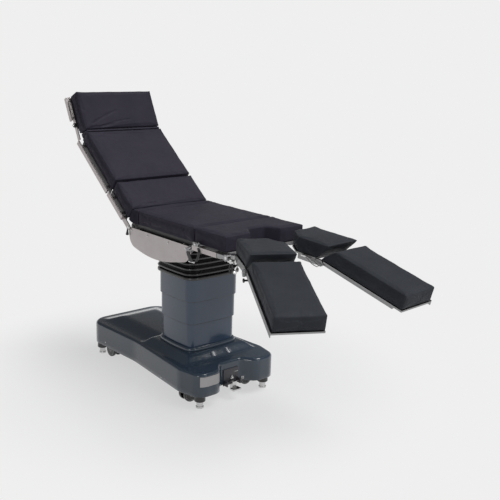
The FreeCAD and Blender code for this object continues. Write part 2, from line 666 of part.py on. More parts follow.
def make_column():
    floor = S.frame_low + S.frame_thick
    axis = (S.column_x, 0)
    part("column_collar", column_ring(2 * S.cover_step - S.collar_wide, S.collar_wide,
                                      (S.deck_high, S.collar_top)))
    part("lower_cover", column_ring(2 * S.cover_step, S.cover_sheet, (S.deck_high - 14, S.lower_top)))
    part("middle_cover", column_ring(S.cover_step, S.cover_sheet, (S.middle_low, S.middle_top)))
    part("upper_cover", column_ring(size(0), S.cover_sheet, (S.upper_low, S.head_low)))
    wall = S.tube_wall
    fixed_inner = S.tube_half - wall
    foot_plate = [block(None, (S.column_x - S.tube_half - 25, S.column_x - S.tube_half + 2),
                        (-S.tube_half, S.tube_half), (floor, floor + 12)),
                  block(None, (S.column_x + S.tube_half - 2, S.column_x + S.tube_half + 25),
                        (-S.tube_half, S.tube_half), (floor, floor + 12))]
    part("lift_tube_fixed", join(square_tube(S.tube_half, wall, (floor, S.fixed_top)), *foot_plate,
                                 *guide_pads(fixed_inner, (S.fixed_top - 60, S.fixed_top - 10))))
    middle_half = fixed_inner - S.tube_gap
    middle_top = S.middle_top + 8
    carrier = remove(
        profile(None, "z", column_outline(S.cover_step), (S.middle_top, middle_top),
                {i: S.column_bow for i in range(4)},
                {i: S.column_round - S.cover_step for i in range(4)}),
        block(None, (S.column_x - middle_half + wall, S.column_x + middle_half - wall),
              (-middle_half + wall, middle_half - wall), (S.middle_top - 1, middle_top + 1)))
    part("lift_tube_middle", join(
        square_tube(middle_half, wall, (S.middle_tube_low, middle_top)), carrier,
        *guide_pads(middle_half - wall, (middle_top - 60, middle_top - 10))))
    top_half = middle_half - wall - S.tube_gap
    part("lift_tube_upper", square_tube(top_half, wall, (S.top_tube_low, S.head_low)))
    barrel = rod(None, "z", S.cylinder_radius, (S.cylinder_low, S.cylinder_top), axis)
    flange = rod(None, "z", S.cylinder_radius + 12, (floor, floor + 10), axis)
    bore = rod(None, "z", S.rod_radius + S.running_gap, (S.cylinder_low + 10, S.cylinder_top + 1),
               axis)
    part("lift_cylinder", remove(join(barrel, flange), bore))
    part("lift_rod", rod(None, "z", S.rod_radius, (S.rod_low, S.head_low), axis))
    plate = profile(None, "z", column_outline(size(0)), (S.head_low, S.head_low + S.head_thick),
                    {i: S.column_bow for i in range(4)}, {i: S.column_round for i in range(4)})
    ears = both(lambda s: tilt_ear("y", s, S.head_low + S.head_thick - 1,
                                   S.tilt_height + S.trunnion_radius + 12))
    bores = [rod(None, "y", S.trunnion_radius + S.running_gap,
                 (-S.ear_near - S.ear_thick - 1, S.ear_near + S.ear_thick + 1),
                 (S.column_x, S.tilt_height))]
    part("column_head", remove(join(plate, *ears), *bores))


def tilt_ear(axis, side, low, high):
    """Add one ear of a tilt bearing, across the given axis."""
    near, far = S.ear_near, S.ear_near + S.ear_thick
    span = (near, far) if side > 0 else (-far, -near)
    half = S.trunnion_radius + 14
    if axis == "y":
        return block(None, (S.column_x - half, S.column_x + half), span, (low, high))
    return block(None, (S.column_x + span[0], S.column_x + span[1]), (-half, half), (low, high))


def make_tilt_block():
    reach = S.ear_near + S.ear_thick
    half = S.tilt_block
    cube = block(None, (S.column_x - half, S.column_x + half), (-half, half),
                 (S.tilt_height - half * 0.8, S.tilt_height + half * 0.8))
    cross = rod(None, "y", S.trunnion_radius, (-reach, reach), (S.column_x, S.tilt_height))
    along = rod(None, "x", S.trunnion_radius, (S.column_x - reach, S.column_x + reach),
                (0, S.tilt_height))
    part("tilt_block", join(cube, cross, along))


def make_bellows():
    top = S.pad_top - S.pad_thick - S.seat_deep - S.face_gap
    body = column_ring(-S.bellows_out, S.bellows_wall, (S.bellows_low + 8, top))
    flange = column_ring(-S.bellows_out + 4, S.bellows_out - 4 - S.face_gap,
                         (S.bellows_low, S.bellows_low + 12))
    part("bellows", join(body, flange))


# Seat section: frame, D-shaped side plates, pads and the pelvic section
def rails(frame, x, z_top, spacer_from):
    """Add an accessory rail on each side, with its two spacers."""
    z = (z_top - S.rail_high, z_top)
    made = []
    for s in (-1, 1):
        inner, outer = S.rail_in, S.rail_in + S.rail_thick
        y = (inner, outer) if s > 0 else (-outer, -inner)
        bar = block(frame, x, y, z)
        span = (spacer_from, inner + 1) if s > 0 else (-inner - 1, -size(spacer_from))
        ends = (size(x[0]) + 35, size(x[1]) - 35)
        posts = [rod(frame, "y", S.spacer_radius, span, (at, z_top - S.rail_high / 2))
                 for at in ends]
        made.append(join(bar, *posts))
    return group(*made)


def lugs(frame, x, z, inner, reach, base_z, radius=S.lug_radius):
    """Add a pair of hinge lugs, each joined to its section by an arm."""
    made = []
    for s in (-1, 1):
        y = (inner, inner + S.lug_thick) if s > 0 else (-inner - S.lug_thick, -size(inner))
        eye = rod(frame, "y", radius, y, (x, z))
        low, high = (x, reach) if size(reach).value > size(x).value else (reach, x)
        arm = block(frame, (low, high), y, (base_z[0], base_z[1]))
        made.append(join(eye, arm))
    return made


def seat_frame_pieces(frame):
    under = -S.pad_thick
    low = under - S.seat_deep
    board = block(frame, (-4, S.seat_long - 2), (-S.board_half, S.board_half),
                  (under - S.board_thick, under))
    beams = [block(frame, (20, S.seat_long - 40), y, (low, under - 4))
             for y in ((S.beam_in, S.beam_in + S.beam_wide),
                       (-S.beam_in - S.beam_wide, -S.beam_in))]
    return board, beams, low, under


def turned(ratio, share):
    """Return the sine or cosine of a share of the back's angle."""
    angle = math.radians(S.back_angle.value) * share
    return Size(getattr(math, ratio)(angle), f"{ratio}(Sizes.back_angle * {share})")


def make_seat(frame):
    board, beams, low, under = seat_frame_pieces(frame)
    column_at = S.column_x - S.fold_x
    half, flat, side = S.carrier_half, S.carrier_flat, S.beam_in + 2
    quarter = [(half, flat), (flat, side)]
    corners = ([(column_at + x, -y) for x, y in quarter[::-1]]
               + [(column_at + x, y) for x, y in quarter]
               + [(column_at - x, y) for x, y in quarter[::-1]]
               + [(column_at - x, -y) for x, y in quarter])
    carrier = profile(frame, "z", corners, (low, low + 10))
    webs = [block(frame, (column_at + x, column_at + x + S.web_thick),
                  (-S.beam_in - 2, S.beam_in + 2), (low + S.web_drop, under - 4))
            for x in (-S.web_out - S.web_thick, S.web_out)]
    window = block(frame, (column_at - S.ear_near + 8, column_at + S.ear_near - 8),
                   (-S.ear_near - S.ear_thick - 35, S.ear_near + S.ear_thick + 35),
                   (low - 1, low + 11))
    ears = [tilt_ear("x", s, S.tilt_height - S.trunnion_radius - 4, S.pad_top + low + 2)
            for s in (-1, 1)]
    ear_bore = rod(None, "x", S.trunnion_radius + S.running_gap,
                   (S.column_x - S.ear_near - S.ear_thick - 1,
                    S.column_x + S.ear_near + S.ear_thick + 1), (0, S.tilt_height))
    pivot = (S.back_pivot_x, -S.back_pivot_drop)
    hinge = lugs(frame, *pivot, S.beam_in + S.lug_thick + S.face_gap, 40,
                 (-S.back_pivot_drop - 8, under - 4))
    hinge_bore = rod(frame, "y", S.pin_radius + S.running_gap,
                     (-S.board_half, S.board_half), pivot)
    shaft_bore = rod(frame, "y", S.pin_radius + S.running_gap,
                     (-S.board_half, S.board_half), (S.release_x, -S.release_drop))
    release_lugs = [block(frame, (S.release_x - 25, S.release_x + 14), y,
                          (-S.release_drop - 16, under - 4))
                    for y in ((S.beam_in, S.beam_in + S.beam_wide),
                              (-S.beam_in - S.beam_wide, -S.beam_in))]
    part("seat_frame", remove(join(board, *beams, carrier, *webs, *ears, *hinge, *release_lugs),
                              window, ear_bore, hinge_bore, shaft_bore))
    top, bottom = S.plate_top - S.pad_top, S.plate_low - S.pad_top
    outline = [(-S.plate_head, top), (-S.plate_head + 8, bottom + 46),
               ((S.plate_foot - S.plate_head) / 2 - 30, bottom - 4), (S.plate_foot, bottom + 62),
               (S.plate_foot, top)]
    plates = [profile(frame, "y", outline, y,
                      rounds={1: S.plate_corner, 2: S.plate_sweep, 3: S.plate_corner})
              for y in ((S.plate_in, S.plate_in + S.plate_thick),
                        (-S.plate_in - S.plate_thick, -S.plate_in))]
    posts = []
    for s in (-1, 1):
        face = S.beam_in + S.beam_wide
        y = (face, S.plate_in + 1) if s > 0 else (-S.plate_in - 1, -face)
        posts.append([rod(frame, "y", S.spacer_radius, y, (at, low + S.seat_deep / 2))
                      for at in (60, S.seat_long - 90)])
    plates = [join(plate, *sides) for plate, sides in zip(plates, posts[::-1])]
    part("side_plates", group(*plates))
    part("seat_pad", block(frame, (-S.bridge_long * -1 + S.seam, S.seat_long - S.seam),
                           (-S.pad_half, S.pad_half), (-S.pad_thick, 0)))
    arc = [(-S.pad_thick * turned("sin", share) + 1, -S.pad_thick * turned("cos", share))
           for share in (0.96, 0.5)]
    part("fold_bridge", profile(
        frame, "y", [(size(0), -S.seam), *arc, (S.seam, -S.pad_thick), (S.bridge_long, -S.pad_thick),
                     (S.bridge_long, size(0)), (S.seam, size(0))],
        (-S.pad_half, S.pad_half)))
    shaft = rod(frame, "y", S.pin_radius, (-S.rail_in - 14, S.rail_in + 14),
                (S.release_x, -S.release_drop))
    hubs = [rod(frame, "y", 19, y, (S.release_x, -S.release_drop))
            for y in ((S.plate_in + S.plate_thick + S.face_gap, S.rail_in + 12),
                      (-S.rail_in - 12, -S.plate_in - S.plate_thick - S.face_gap))]
    levers = [block(frame, (S.release_x - 7, S.release_x + 7), y,
                    (-S.release_drop - S.release_reach, -S.release_drop - 10))
              for y in ((S.rail_in - 4, S.rail_in + 6), (-S.rail_in - 6, -S.rail_in + 4))]
    part("release_shaft", join(shaft, *hubs, *levers))
    return pivot


def make_pelvis(frame):
    x0, x1 = S.seat_long, S.seat_long + S.pelvis_long
    under = -S.pad_thick
    mouth = [(x1, -S.cut_mouth), (x1 - S.cut_deep, -S.cut_floor),
             (x1 - S.cut_deep, S.cut_floor), (x1, S.cut_mouth)]

    def plan(inset, half, z):
        corners = [(x0 + inset, -half), (x1 - inset, -half), *mouth, (x1 - inset, half),
                   (x0 + inset, half)]
        corners[2] = (x1 - inset, corners[2][1])
        corners[5] = (x1 - inset, corners[5][1])
        return profile(frame, "z", corners, z, rounds={3: S.cut_round, 4: S.cut_round})

    part("pelvic_pad", plan(S.seam, S.pad_half, (under, 0)))
    board = plan(size(2), S.board_half, (under - S.board_thick, under))
    rail_z = under - S.rail_drop
    inner = S.beam_in - 20
    beams = [block(frame, (x0 + 3, x1 - 20), y, (rail_z - S.rail_high, under - 4))
             for y in ((inner, S.beam_in + S.beam_wide), (-S.beam_in - S.beam_wide, -inner))]
    tongues = [block(frame, (S.release_x - 16, x0 + 30), y,
                     (-S.release_drop - 14, under - S.board_thick - S.face_gap))
               for y in ((inner, S.beam_in - S.face_gap), (-S.beam_in + S.face_gap, -inner))]
    shaft_bore = rod(frame, "y", S.pin_radius + S.running_gap, (-S.beam_in, S.beam_in),
                     (S.release_x, -S.release_drop))
    clevis = []
    hip = (S.hip_x, -S.hip_drop)
    for s in (-1, 1):
        for near in (-S.lug_thick - 14 - S.face_gap, 14 + S.face_gap):
            y = (s * S.hip_y + near, s * S.hip_y + near + S.lug_thick)
            eye = rod(frame, "y", S.hip_eye, y, hip)
            arm = block(frame, (x1 - 30, S.hip_x), y, (-S.hip_drop - 9, -S.hip_drop + 10))
            clevis.append(join(eye, arm))
        y = (S.beam_in + 4, S.rail_in + 6) if s > 0 else (-S.rail_in - 6, -S.beam_in - 4)
        clevis.append(block(frame, (x1 - 32, x1 - 4), y, (-S.hip_drop - 14, under - 4)))
    bores = [rod(frame, "y", S.pin_radius + S.running_gap, (-S.rail_in - 30, S.rail_in + 30), hip)]
    part("pelvic_frame", remove(join(board, *beams, *tongues, *clevis), shaft_bore, *bores))
    part("pelvic_rails", rails(frame, (x0 + 14, x1 - 34), rail_z, S.beam_in + S.beam_wide))


# Back and head sections, each in a frame that runs up from the fold
def section_board(frame, x, under):
    board = block(frame, x, (-S.board_half, S.board_half), (under - S.board_thick, under))
    beams = [block(frame, (size(x[0]) + 6, size(x[1]) - 6), y,
                   (under - S.rail_drop - S.rail_high, under - 4))
             for y in ((S.beam_in - 2, S.beam_in + S.beam_wide),
                       (-S.beam_in - S.beam_wide, -S.beam_in + 2))]
    return [board, *beams]


def make_lower_back(frame):
    under = -S.pad_thick
    part("lower_back_pad", profile(
        frame, "y", [(S.seam, under), (S.lower_back_long - S.seam, under),
                     (S.lower_back_long - S.bend_relief, 0), (S.seam, 0)],
        (-S.pad_half, S.pad_half)))
    cosine = Size(math.cos(math.radians(S.back_angle.value)), "cos(Sizes.back_angle)")
    sine = Size(math.sin(math.radians(S.back_angle.value)), "sin(Sizes.back_angle)")
    pivot = (-S.back_pivot_x * cosine - S.back_pivot_drop * sine,
             S.back_pivot_x * sine - S.back_pivot_drop * cosine)
    arms = lugs(frame, *pivot, S.beam_in, 60, (pivot[1] - 7, under - 4))
    joint = (S.lower_back_long, under - S.joint_radius - 2)
    eyes = lugs(frame, *joint, S.beam_in + S.lug_thick + S.face_gap, S.lower_back_long - 40,
                (joint[1] - 8, joint[1] + 8), S.joint_radius)
    bores = [rod(frame, "y", S.joint_pin + S.running_gap, (-S.board_half, S.board_half), joint)]
    pin = rod(frame, "y", S.pin_radius,
              (-S.beam_in - 2 * S.lug_thick - 4, S.beam_in + 2 * S.lug_thick + 4), pivot)
    board = section_board(frame, (34, S.lower_back_long - 26), under)
    part("lower_back_frame", join(remove(join(*board, *arms, *eyes), *bores), pin))
    part("lower_back_rails", rails(frame, (22, S.lower_back_long - 6), under - S.rail_drop,
                                   S.beam_in + S.beam_wide))
    return joint


def make_upper_back(frame, joint):
    under = -S.pad_thick
    start, end = S.lower_back_long, S.back_long
    part("upper_back_pad", profile(
        frame, "y", [(start + S.seam, under), (end - S.seam, under),
                     (end - S.head_relief, 0), (start + S.bend_relief, 0)],
        (-S.pad_half, S.pad_half)))
    arms = lugs(frame, *joint, S.beam_in, start + 50, (joint[1] - 8, joint[1] + 8),
                S.joint_radius)
    pin = rod(frame, "y", S.joint_pin,
              (-S.beam_in - 2 * S.lug_thick - 4, S.beam_in + 2 * S.lug_thick + 4), joint)
    head = (end - S.head_pivot_back, -S.head_pivot_drop)
    eyes = lugs(frame, *head, S.beam_in + S.lug_thick + S.face_gap, end - 50,
                (head[1] - 8, head[1] + 8), S.joint_radius)
    bores = [rod(frame, "y", S.joint_pin + S.running_gap, (-S.board_half, S.board_half), head)]
    board = section_board(frame, (start + 28, end - 32), under)
    part("upper_back_frame", join(remove(join(*board, *arms, *eyes), *bores), pin))
    part("upper_back_rails", rails(frame, (start + 8, end - 6), under - S.rail_drop,
                                   S.beam_in + S.beam_wide))
    return head


def make_head(frame):
    under = -S.pad_thick
    part("head_pad", block(frame, (S.seam, S.head_long), (-S.pad_half, S.pad_half), (under, 0)))
    cosine = Size(math.cos(math.radians(S.head_angle.value)), "cos(Sizes.head_angle)")
    sine = Size(math.sin(math.radians(S.head_angle.value)), "sin(Sizes.head_angle)")
    pivot = (-S.head_pivot_back * cosine - S.head_pivot_drop * sine,
             S.head_pivot_back * sine - S.head_pivot_drop * cosine)
    pin = rod(frame, "y", S.joint_pin,
              (-S.beam_in - 2 * S.lug_thick - 4, S.beam_in + 2 * S.lug_thick + 4), pivot)
    reach = S.joint_radius
    arms, eyes = [], []
    for y in ((S.beam_in, S.beam_in + S.lug_thick), (-S.beam_in - S.lug_thick, -S.beam_in)):
        eyes.append(rod(frame, "y", reach, y, pivot))
        arms.append(profile(frame, "y", [
            (pivot[0], pivot[1] - reach + 1), (30, under - 28), (60, under - 28),
            (60, under - 4), (4, under - 4), (pivot[0] + 2, pivot[1] + reach - 2)], y))
    board = section_board(frame, (24, S.head_long - 8), under)
    lock_at = (62, under - S.rail_high / 2 - S.rail_drop)
    lock_bore = rod(frame, "y", 5 + S.running_gap, (-S.rail_in, S.rail_in), lock_at)
    part("head_frame", join(remove(join(*board, *arms, *eyes), lock_bore), pin))
    bars = []
    for s in (-1, 1):
        y = (S.plate_in, S.plate_in + 5) if s > 0 else (-S.plate_in - 5, -S.plate_in)
        bar = block(frame, (-30, S.head_long), y, (under - 30, under - 4))
        holes = [rod(frame, "y", 4, (y[0] - 1, y[1] + 1), (S.head_long - 45 - 28 * i, under - 17))
                 for i in range(4)]
        holes.append(rod(frame, "y", 5 + S.running_gap, (y[0] - 1, y[1] + 1), lock_at))
        inner, outer = S.rail_in, S.rail_in + S.rail_thick
        rail_y = (inner, outer) if s > 0 else (-outer, -inner)
        rail = block(frame, (92, S.head_long - 4), rail_y, (under - 30, under - 5))
        posts = [rod(frame, "y", S.spacer_radius,
                     (y[1] - 1, inner + 1) if s > 0 else (-inner - 1, y[0] + 1),
                     (at, under - 17)) for at in (108, S.head_long - 20)]
        bars.append(join(remove(bar, *holes), rail, *posts))
    part("head_bars", group(*bars))
    shaft = rod(frame, "y", 5, (-S.rail_in - 8, S.rail_in + 8), lock_at)
    knobs = [rod(frame, "y", S.knob_radius, y, lock_at)
             for y in ((S.plate_in + 5 + S.face_gap, S.plate_in + 21),
                       (-S.plate_in - 21, -S.plate_in - 5 - S.face_gap))]
    part("head_lock", join(shaft, *knobs))


# Legs: hip block, thigh and calf, the same on each side
def outward(side, low, high):
    """Return a range across a leg, measured outward from its outer edge."""
    return (low, high) if side > 0 else (-size(high), -size(low))


def make_leg(hand, side, seat):
    splay = getattr(S, f"{hand}_splay")
    pitch = getattr(S, f"{hand}_pitch")
    knee = getattr(S, f"{hand}_knee")
    hip = section_frame(f"hip_{hand}", seat, (S.hip_x, side * S.hip_y, -S.hip_drop),
                        ((Y_AXIS, pitch),))
    thigh = section_frame(f"thigh_{hand}", hip, (S.hip_reach, 0, S.hip_rise),
                          ((Z_AXIS, splay * side),))
    knee_x = S.thigh_long - S.leg_bevel + S.knee_ahead
    calf = section_frame(f"calf_{hand}", thigh, (knee_x, 0, -S.knee_drop), ((Y_AXIS, knee),))
    make_hip_block(hand, side, hip)
    make_thigh(hand, side, thigh, knee_x)
    make_calf(hand, side, calf)


def make_hip_block(hand, side, frame):
    barrel = rod(frame, "y", S.hip_eye, (-14, 14), (0, 0))
    pin = rod(frame, "y", S.pin_radius, (-14 - S.lug_thick, 14 + S.lug_thick), (0, 0))
    body = block(frame, (0, S.hip_reach + 18), (-14, 14), (-20, 3))
    post = rod(frame, "z", S.pin_radius + 1, (0, S.hip_rise - 3), (S.hip_reach, 0))
    stud_at = (S.hip_reach, -9)
    bore = rod(frame, "y", 5 + S.running_gap, outward(side, -15, 15), stud_at)
    part(f"hip_block_{hand}", join(remove(join(barrel, body), bore), pin, post))
    hub = rod(frame, "y", 11, outward(side, 14 + S.face_gap, 28), stud_at)
    stud = rod(frame, "y", 5, outward(side, -14, 20), stud_at)
    arm = block(frame, (S.hip_reach - 6, S.hip_reach + 6), outward(side, 18, 27), (-68, -9))
    part(f"hip_lever_{hand}", join(hub, stud, arm))


def make_thigh(hand, side, frame, knee_x):
    """The outer edge of the pad is y = 0; the pad lies inward of it."""
    wide = S.leg_wide
    bottom = S.thigh_long - S.leg_bevel
    y = outward(side, -wide, 0)
    full = profile(frame, "y", [(0, 0), (bottom, 0), (S.thigh_long, S.leg_thick),
                                (0, S.leg_thick)], y)
    def cut_corner(z):
        corners = [(-1, outward(side, -wide - 1, 0)[0] if side > 0 else wide + 1),
                   (S.corner_along + 1, -side * (wide + 1)), (-1, -side * (wide - S.corner_cross))]
        if side < 0:
            corners = corners[::-1]
        return profile(frame, "z", corners, z)
    part(f"thigh_pad_{hand}", remove(full, cut_corner((-1, S.leg_thick + 1))))
    board = block(frame, (8, bottom - 4), outward(side, -wide + 6, 0), (-S.leg_board, 0))
    board = remove(board, cut_corner((-S.leg_board - 1, 1)))
    z = (-S.leg_board - S.bar_high, -S.leg_board + 4)
    outer_bar = block(frame, (28, knee_x), outward(side, -S.bar_wide, 0), z)
    inner_bar = block(frame, (S.corner_along, knee_x),
                      outward(side, -wide + 10, -wide + 10 + S.bar_wide), z)
    lug = rod(frame, "z", S.hip_swivel, (-S.hip_rise + 3 + S.face_gap, -4), (0, 0))
    lug_bore = rod(frame, "z", S.pin_radius + 1 + S.running_gap, (-S.hip_rise, -3), (0, 0))
    neck = block(frame, (0, 40), outward(side, -S.hip_swivel, 2), (-S.hip_rise + 4, -4))
    knee_at = (knee_x, -S.knee_drop)
    eyes = [rod(frame, "y", 15, outward(side, -S.bar_wide, 0), knee_at),
            rod(frame, "y", 15, outward(side, -wide + 10, -wide + 10 + S.bar_wide), knee_at)]
    knee_bore = rod(frame, "y", 6 + S.running_gap, outward(side, -wide, 5), knee_at)
    frame_body = join(board, outer_bar, inner_bar, lug, neck, *eyes)
    part(f"thigh_frame_{hand}", remove(frame_body, lug_bore, knee_bore))


def make_calf(hand, side, frame):
    wide = S.leg_wide
    rise = S.knee_drop
    length = S.calf_long + S.leg_bevel
    part(f"calf_pad_{hand}", profile(
        frame, "y", [(0, rise), (length, rise), (length, rise + S.leg_thick),
                     (S.leg_bevel, rise + S.leg_thick)], outward(side, -wide, 0)))
    board = block(frame, (20, length - 2), outward(side, -wide + 4, 0), (rise - S.leg_board, rise))
    gap = S.bar_wide + S.face_gap
    z = (rise - S.leg_board - S.bar_high + 6, rise - S.leg_board + 4)
    outer_y = outward(side, -gap - S.bar_wide, -gap)
    inner_y = outward(side, -wide + 10 + gap, -wide + 10 + gap + S.bar_wide)
    bars = [block(frame, (0, length - S.bar_short), y, z) for y in (outer_y, inner_y)]
    trim = block(frame, (26, length - 2), outward(side, 0, 3), (rise - 20, rise + 4))
    eyes = [rod(frame, "y", 14, y, (0, 0)) for y in (outer_y, inner_y)]
    pin = rod(frame, "y", 6, outward(side, -wide + 10, 0), (0, 0))
    part(f"calf_frame_{hand}", join(board, *bars, trim, *eyes, pin))
    stud = rod(frame, "y", S.knob_radius, outward(side, S.face_gap, 16), (0, 0))
    part(f"knee_knob_{hand}", stud)


make_base_cover()
make_base_frame()
make_feet()
make_castors()
make_base_fittings()
make_column()
make_tilt_block()
make_bellows()
seat = section_frame("seat", None, (S.fold_x, 0, S.pad_top))
make_seat(seat)
make_pelvis(seat)
back = section_frame("back", seat, (0, 0, 0), ((Y_AXIS, S.back_angle), (Z_AXIS, 180)))
head_joint = make_upper_back(back, make_lower_back(back))
head = section_frame("head", back, (S.back_long, 0, 0), ((Y_AXIS, -S.head_angle),))
make_head(head)
for hand, side in (("near", -1), ("far", 1)):
    make_leg(hand, side, seat)

doc.recompute()
for thing in doc.Objects:
    if {"Invalid", "Error"} & set(thing.State):
        raise RuntimeError(f"{thing.Label} failed: {thing.State}")
os.makedirs("parts", exist_ok=True)
for thing in parts:
    shape = thing.Shape
    if shape.isNull() or not shape.isValid() or not shape.Solids:
        raise RuntimeError(f"{thing.Label} has no valid solid")
    shape.exportStep(f"parts/{thing.Label}.step")
    print(thing.Label, len(shape.Solids), round(shape.Volume / 1000, 1), "cm3")
print(len(parts), "sub-parts")
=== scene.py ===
import math

import bmesh
import bpy
import numpy as np
from mathutils import Matrix, Vector
from mathutils.geometry import convex_hull_2d


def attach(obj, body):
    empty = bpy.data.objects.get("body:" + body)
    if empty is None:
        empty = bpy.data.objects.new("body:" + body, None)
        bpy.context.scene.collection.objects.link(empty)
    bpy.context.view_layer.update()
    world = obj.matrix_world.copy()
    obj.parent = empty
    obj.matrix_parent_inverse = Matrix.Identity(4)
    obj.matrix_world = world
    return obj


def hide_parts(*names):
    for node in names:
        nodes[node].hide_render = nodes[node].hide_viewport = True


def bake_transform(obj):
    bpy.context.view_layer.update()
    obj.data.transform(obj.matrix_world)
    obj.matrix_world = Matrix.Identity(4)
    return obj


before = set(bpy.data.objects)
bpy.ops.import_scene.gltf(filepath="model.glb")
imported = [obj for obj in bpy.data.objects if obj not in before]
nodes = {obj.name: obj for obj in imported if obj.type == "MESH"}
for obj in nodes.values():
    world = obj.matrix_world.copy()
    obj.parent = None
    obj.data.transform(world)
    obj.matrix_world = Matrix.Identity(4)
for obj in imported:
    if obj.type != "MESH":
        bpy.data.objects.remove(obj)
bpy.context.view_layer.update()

scene = bpy.context.scene
scene.view_settings.view_transform = "Standard"


# The viewpoint
# A long lens at standing height, off the table's near leg corner and tipped down a little.
camera_turn, camera_dip, camera_roll = math.radians(48.94), math.radians(13.95), math.radians(1.60)
behind = Vector((math.sin(camera_turn) * math.cos(camera_dip),
                 -math.cos(camera_turn) * math.cos(camera_dip), math.sin(camera_dip)))
level = Vector((math.cos(camera_turn), math.sin(camera_turn), 0))
upright = behind.cross(level)
across = level * math.cos(camera_roll) + upright * math.sin(camera_roll)
upward = upright * math.cos(camera_roll) - level * math.sin(camera_roll)
lens = bpy.data.cameras.new("camera")
lens.sensor_width = 36
lens.lens = 57.18
lens.clip_end = 100
camera = bpy.data.objects.new("camera", lens)
camera.matrix_world = (Matrix.Translation((3.5243, -2.5520, 1.8059))
                       @ Matrix((across, upward, behind)).transposed().to_4x4())
scene.collection.objects.link(camera)
scene.camera = camera


# The studio
# A pale seamless backdrop and floor, one broad lamp overhead that softens the shadows, and two
# tall strips in front that draw the upright highlights on the gloss paint.
def srgb(red, green, blue):
    """The linear colour of a screen colour from 0 to 255, by the sRGB curve."""
    parts = np.array([red, green, blue]) / 255
    linear = np.where(parts < 0.04045, parts / 12.92, ((parts + 0.055) / 1.055) ** 2.4)
    return (*linear.tolist(), 1.0)


backdrop = srgb(239, 239, 239)


def seen_directly(tree):
    """1 for rays from the eye, off a mirror or through glass, and 0 for light: their maximum."""
    path = tree.nodes.new("ShaderNodeLightPath")
    value = path.outputs["Is Camera Ray"]
    for other in ("Is Glossy Ray", "Is Transmission Ray"):
        larger = tree.nodes.new("ShaderNodeMath")
        larger.operation = "MAXIMUM"
        tree.links.new(value, larger.inputs[0])
        tree.links.new(path.outputs[other], larger.inputs[1])
        value = larger.outputs[0]
    return value


def studio_air(light_level, dim_from, dim_to, dim_level):
    """The world: even light and a pale backdrop, which mirrors see darken between two heights."""
    world = bpy.data.worlds.new("studio")
    world.use_nodes = True
    tree = world.node_tree
    tree.nodes.clear()
    light = tree.nodes.new("ShaderNodeBackground")
    light.inputs["Color"].default_value = (0.95, 0.97, 1.0, 1)
    light.inputs["Strength"].default_value = light_level
    shown = tree.nodes.new("ShaderNodeBackground")
    shown.inputs["Color"].default_value = backdrop
    where = tree.nodes.new("ShaderNodeTexCoord")
    split = tree.nodes.new("ShaderNodeSeparateXYZ")
    tree.links.new(where.outputs["Generated"], split.inputs[0])
    dim = tree.nodes.new("ShaderNodeMapRange")
    dim.interpolation_type = "SMOOTHSTEP"
    for socket, value in (("From Min", dim_from), ("From Max", dim_to), ("To Min", 1.0),
                          ("To Max", dim_level)):
        dim.inputs[socket].default_value = value
    tree.links.new(split.outputs["Z"], dim.inputs["Value"])
    path = tree.nodes.new("ShaderNodeLightPath")
    level_for_eye = tree.nodes.new("ShaderNodeMath")
    level_for_eye.operation = "MAXIMUM"
    tree.links.new(dim.outputs[0], level_for_eye.inputs[0])
    tree.links.new(path.outputs["Is Camera Ray"], level_for_eye.inputs[1])
    tree.links.new(level_for_eye.outputs[0], shown.inputs["Strength"])
    mix = tree.nodes.new("ShaderNodeMixShader")
    out = tree.nodes.new("ShaderNodeOutputWorld")
    tree.links.new(seen_directly(tree), mix.inputs[0])
    tree.links.new(light.outputs[0], mix.inputs[1])
    tree.links.new(shown.outputs[0], mix.inputs[2])
    tree.links.new(mix.outputs[0], out.inputs[0])
    scene.world = world


def studio_floor(radius, fade_from, fade_to, least, shown_tone, light_tone):
    """A disc under the table: matt near it, and the backdrop's own tone further out.

    The light that bounces off it takes a darker tone than the one that is seen.
    """
    angles = np.arange(96) * math.tau / 96
    rim = np.column_stack([radius * np.cos(angles), radius * np.sin(angles), np.zeros(96)])
    mesh = bpy.data.meshes.new("floor")
    mesh.from_pydata(rim.tolist(), [], [list(range(96))])
    floor = bpy.data.objects.new("floor", mesh)
    floor.location.z = -0.0004
    scene.collection.objects.link(floor)
    mat = bpy.data.materials.new("floor")
    mat.use_nodes = True
    tree = mat.node_tree
    tree.nodes.clear()
    where = tree.nodes.new("ShaderNodeTexCoord")
    far = tree.nodes.new("ShaderNodeVectorMath")
    far.operation = "LENGTH"
    tree.links.new(where.outputs["Object"], far.inputs[0])
    fade = tree.nodes.new("ShaderNodeMapRange")
    fade.interpolation_type = "SMOOTHSTEP"
    for socket, value in (("From Min", fade_from), ("From Max", fade_to), ("To Min", least)):
        fade.inputs[socket].default_value = value
    tree.links.new(far.outputs["Value"], fade.inputs["Value"])
    direct = seen_directly(tree)
    use = tree.nodes.new("ShaderNodeMath")
    use.operation = "MULTIPLY"
    tree.links.new(fade.outputs[0], use.inputs[0])
    tree.links.new(direct, use.inputs[1])
    tone = tree.nodes.new("ShaderNodeMapRange")
    tone.inputs["To Min"].default_value = light_tone
    tone.inputs["To Max"].default_value = shown_tone
    tree.links.new(direct, tone.inputs["Value"])
    matt = tree.nodes.new("ShaderNodeBsdfDiffuse")
    tree.links.new(tone.outputs[0], matt.inputs["Color"])
    bright = tree.nodes.new("ShaderNodeEmission")
    bright.inputs["Color"].default_value = backdrop
    mix = tree.nodes.new("ShaderNodeMixShader")
    out = tree.nodes.new("ShaderNodeOutputMaterial")
    tree.links.new(use.outputs[0], mix.inputs[0])
    tree.links.new(matt.outputs[0], mix.inputs[1])
    tree.links.new(bright.outputs[0], mix.inputs[2])
    tree.links.new(mix.outputs[0], out.inputs[0])
    mesh.materials.append(mat)


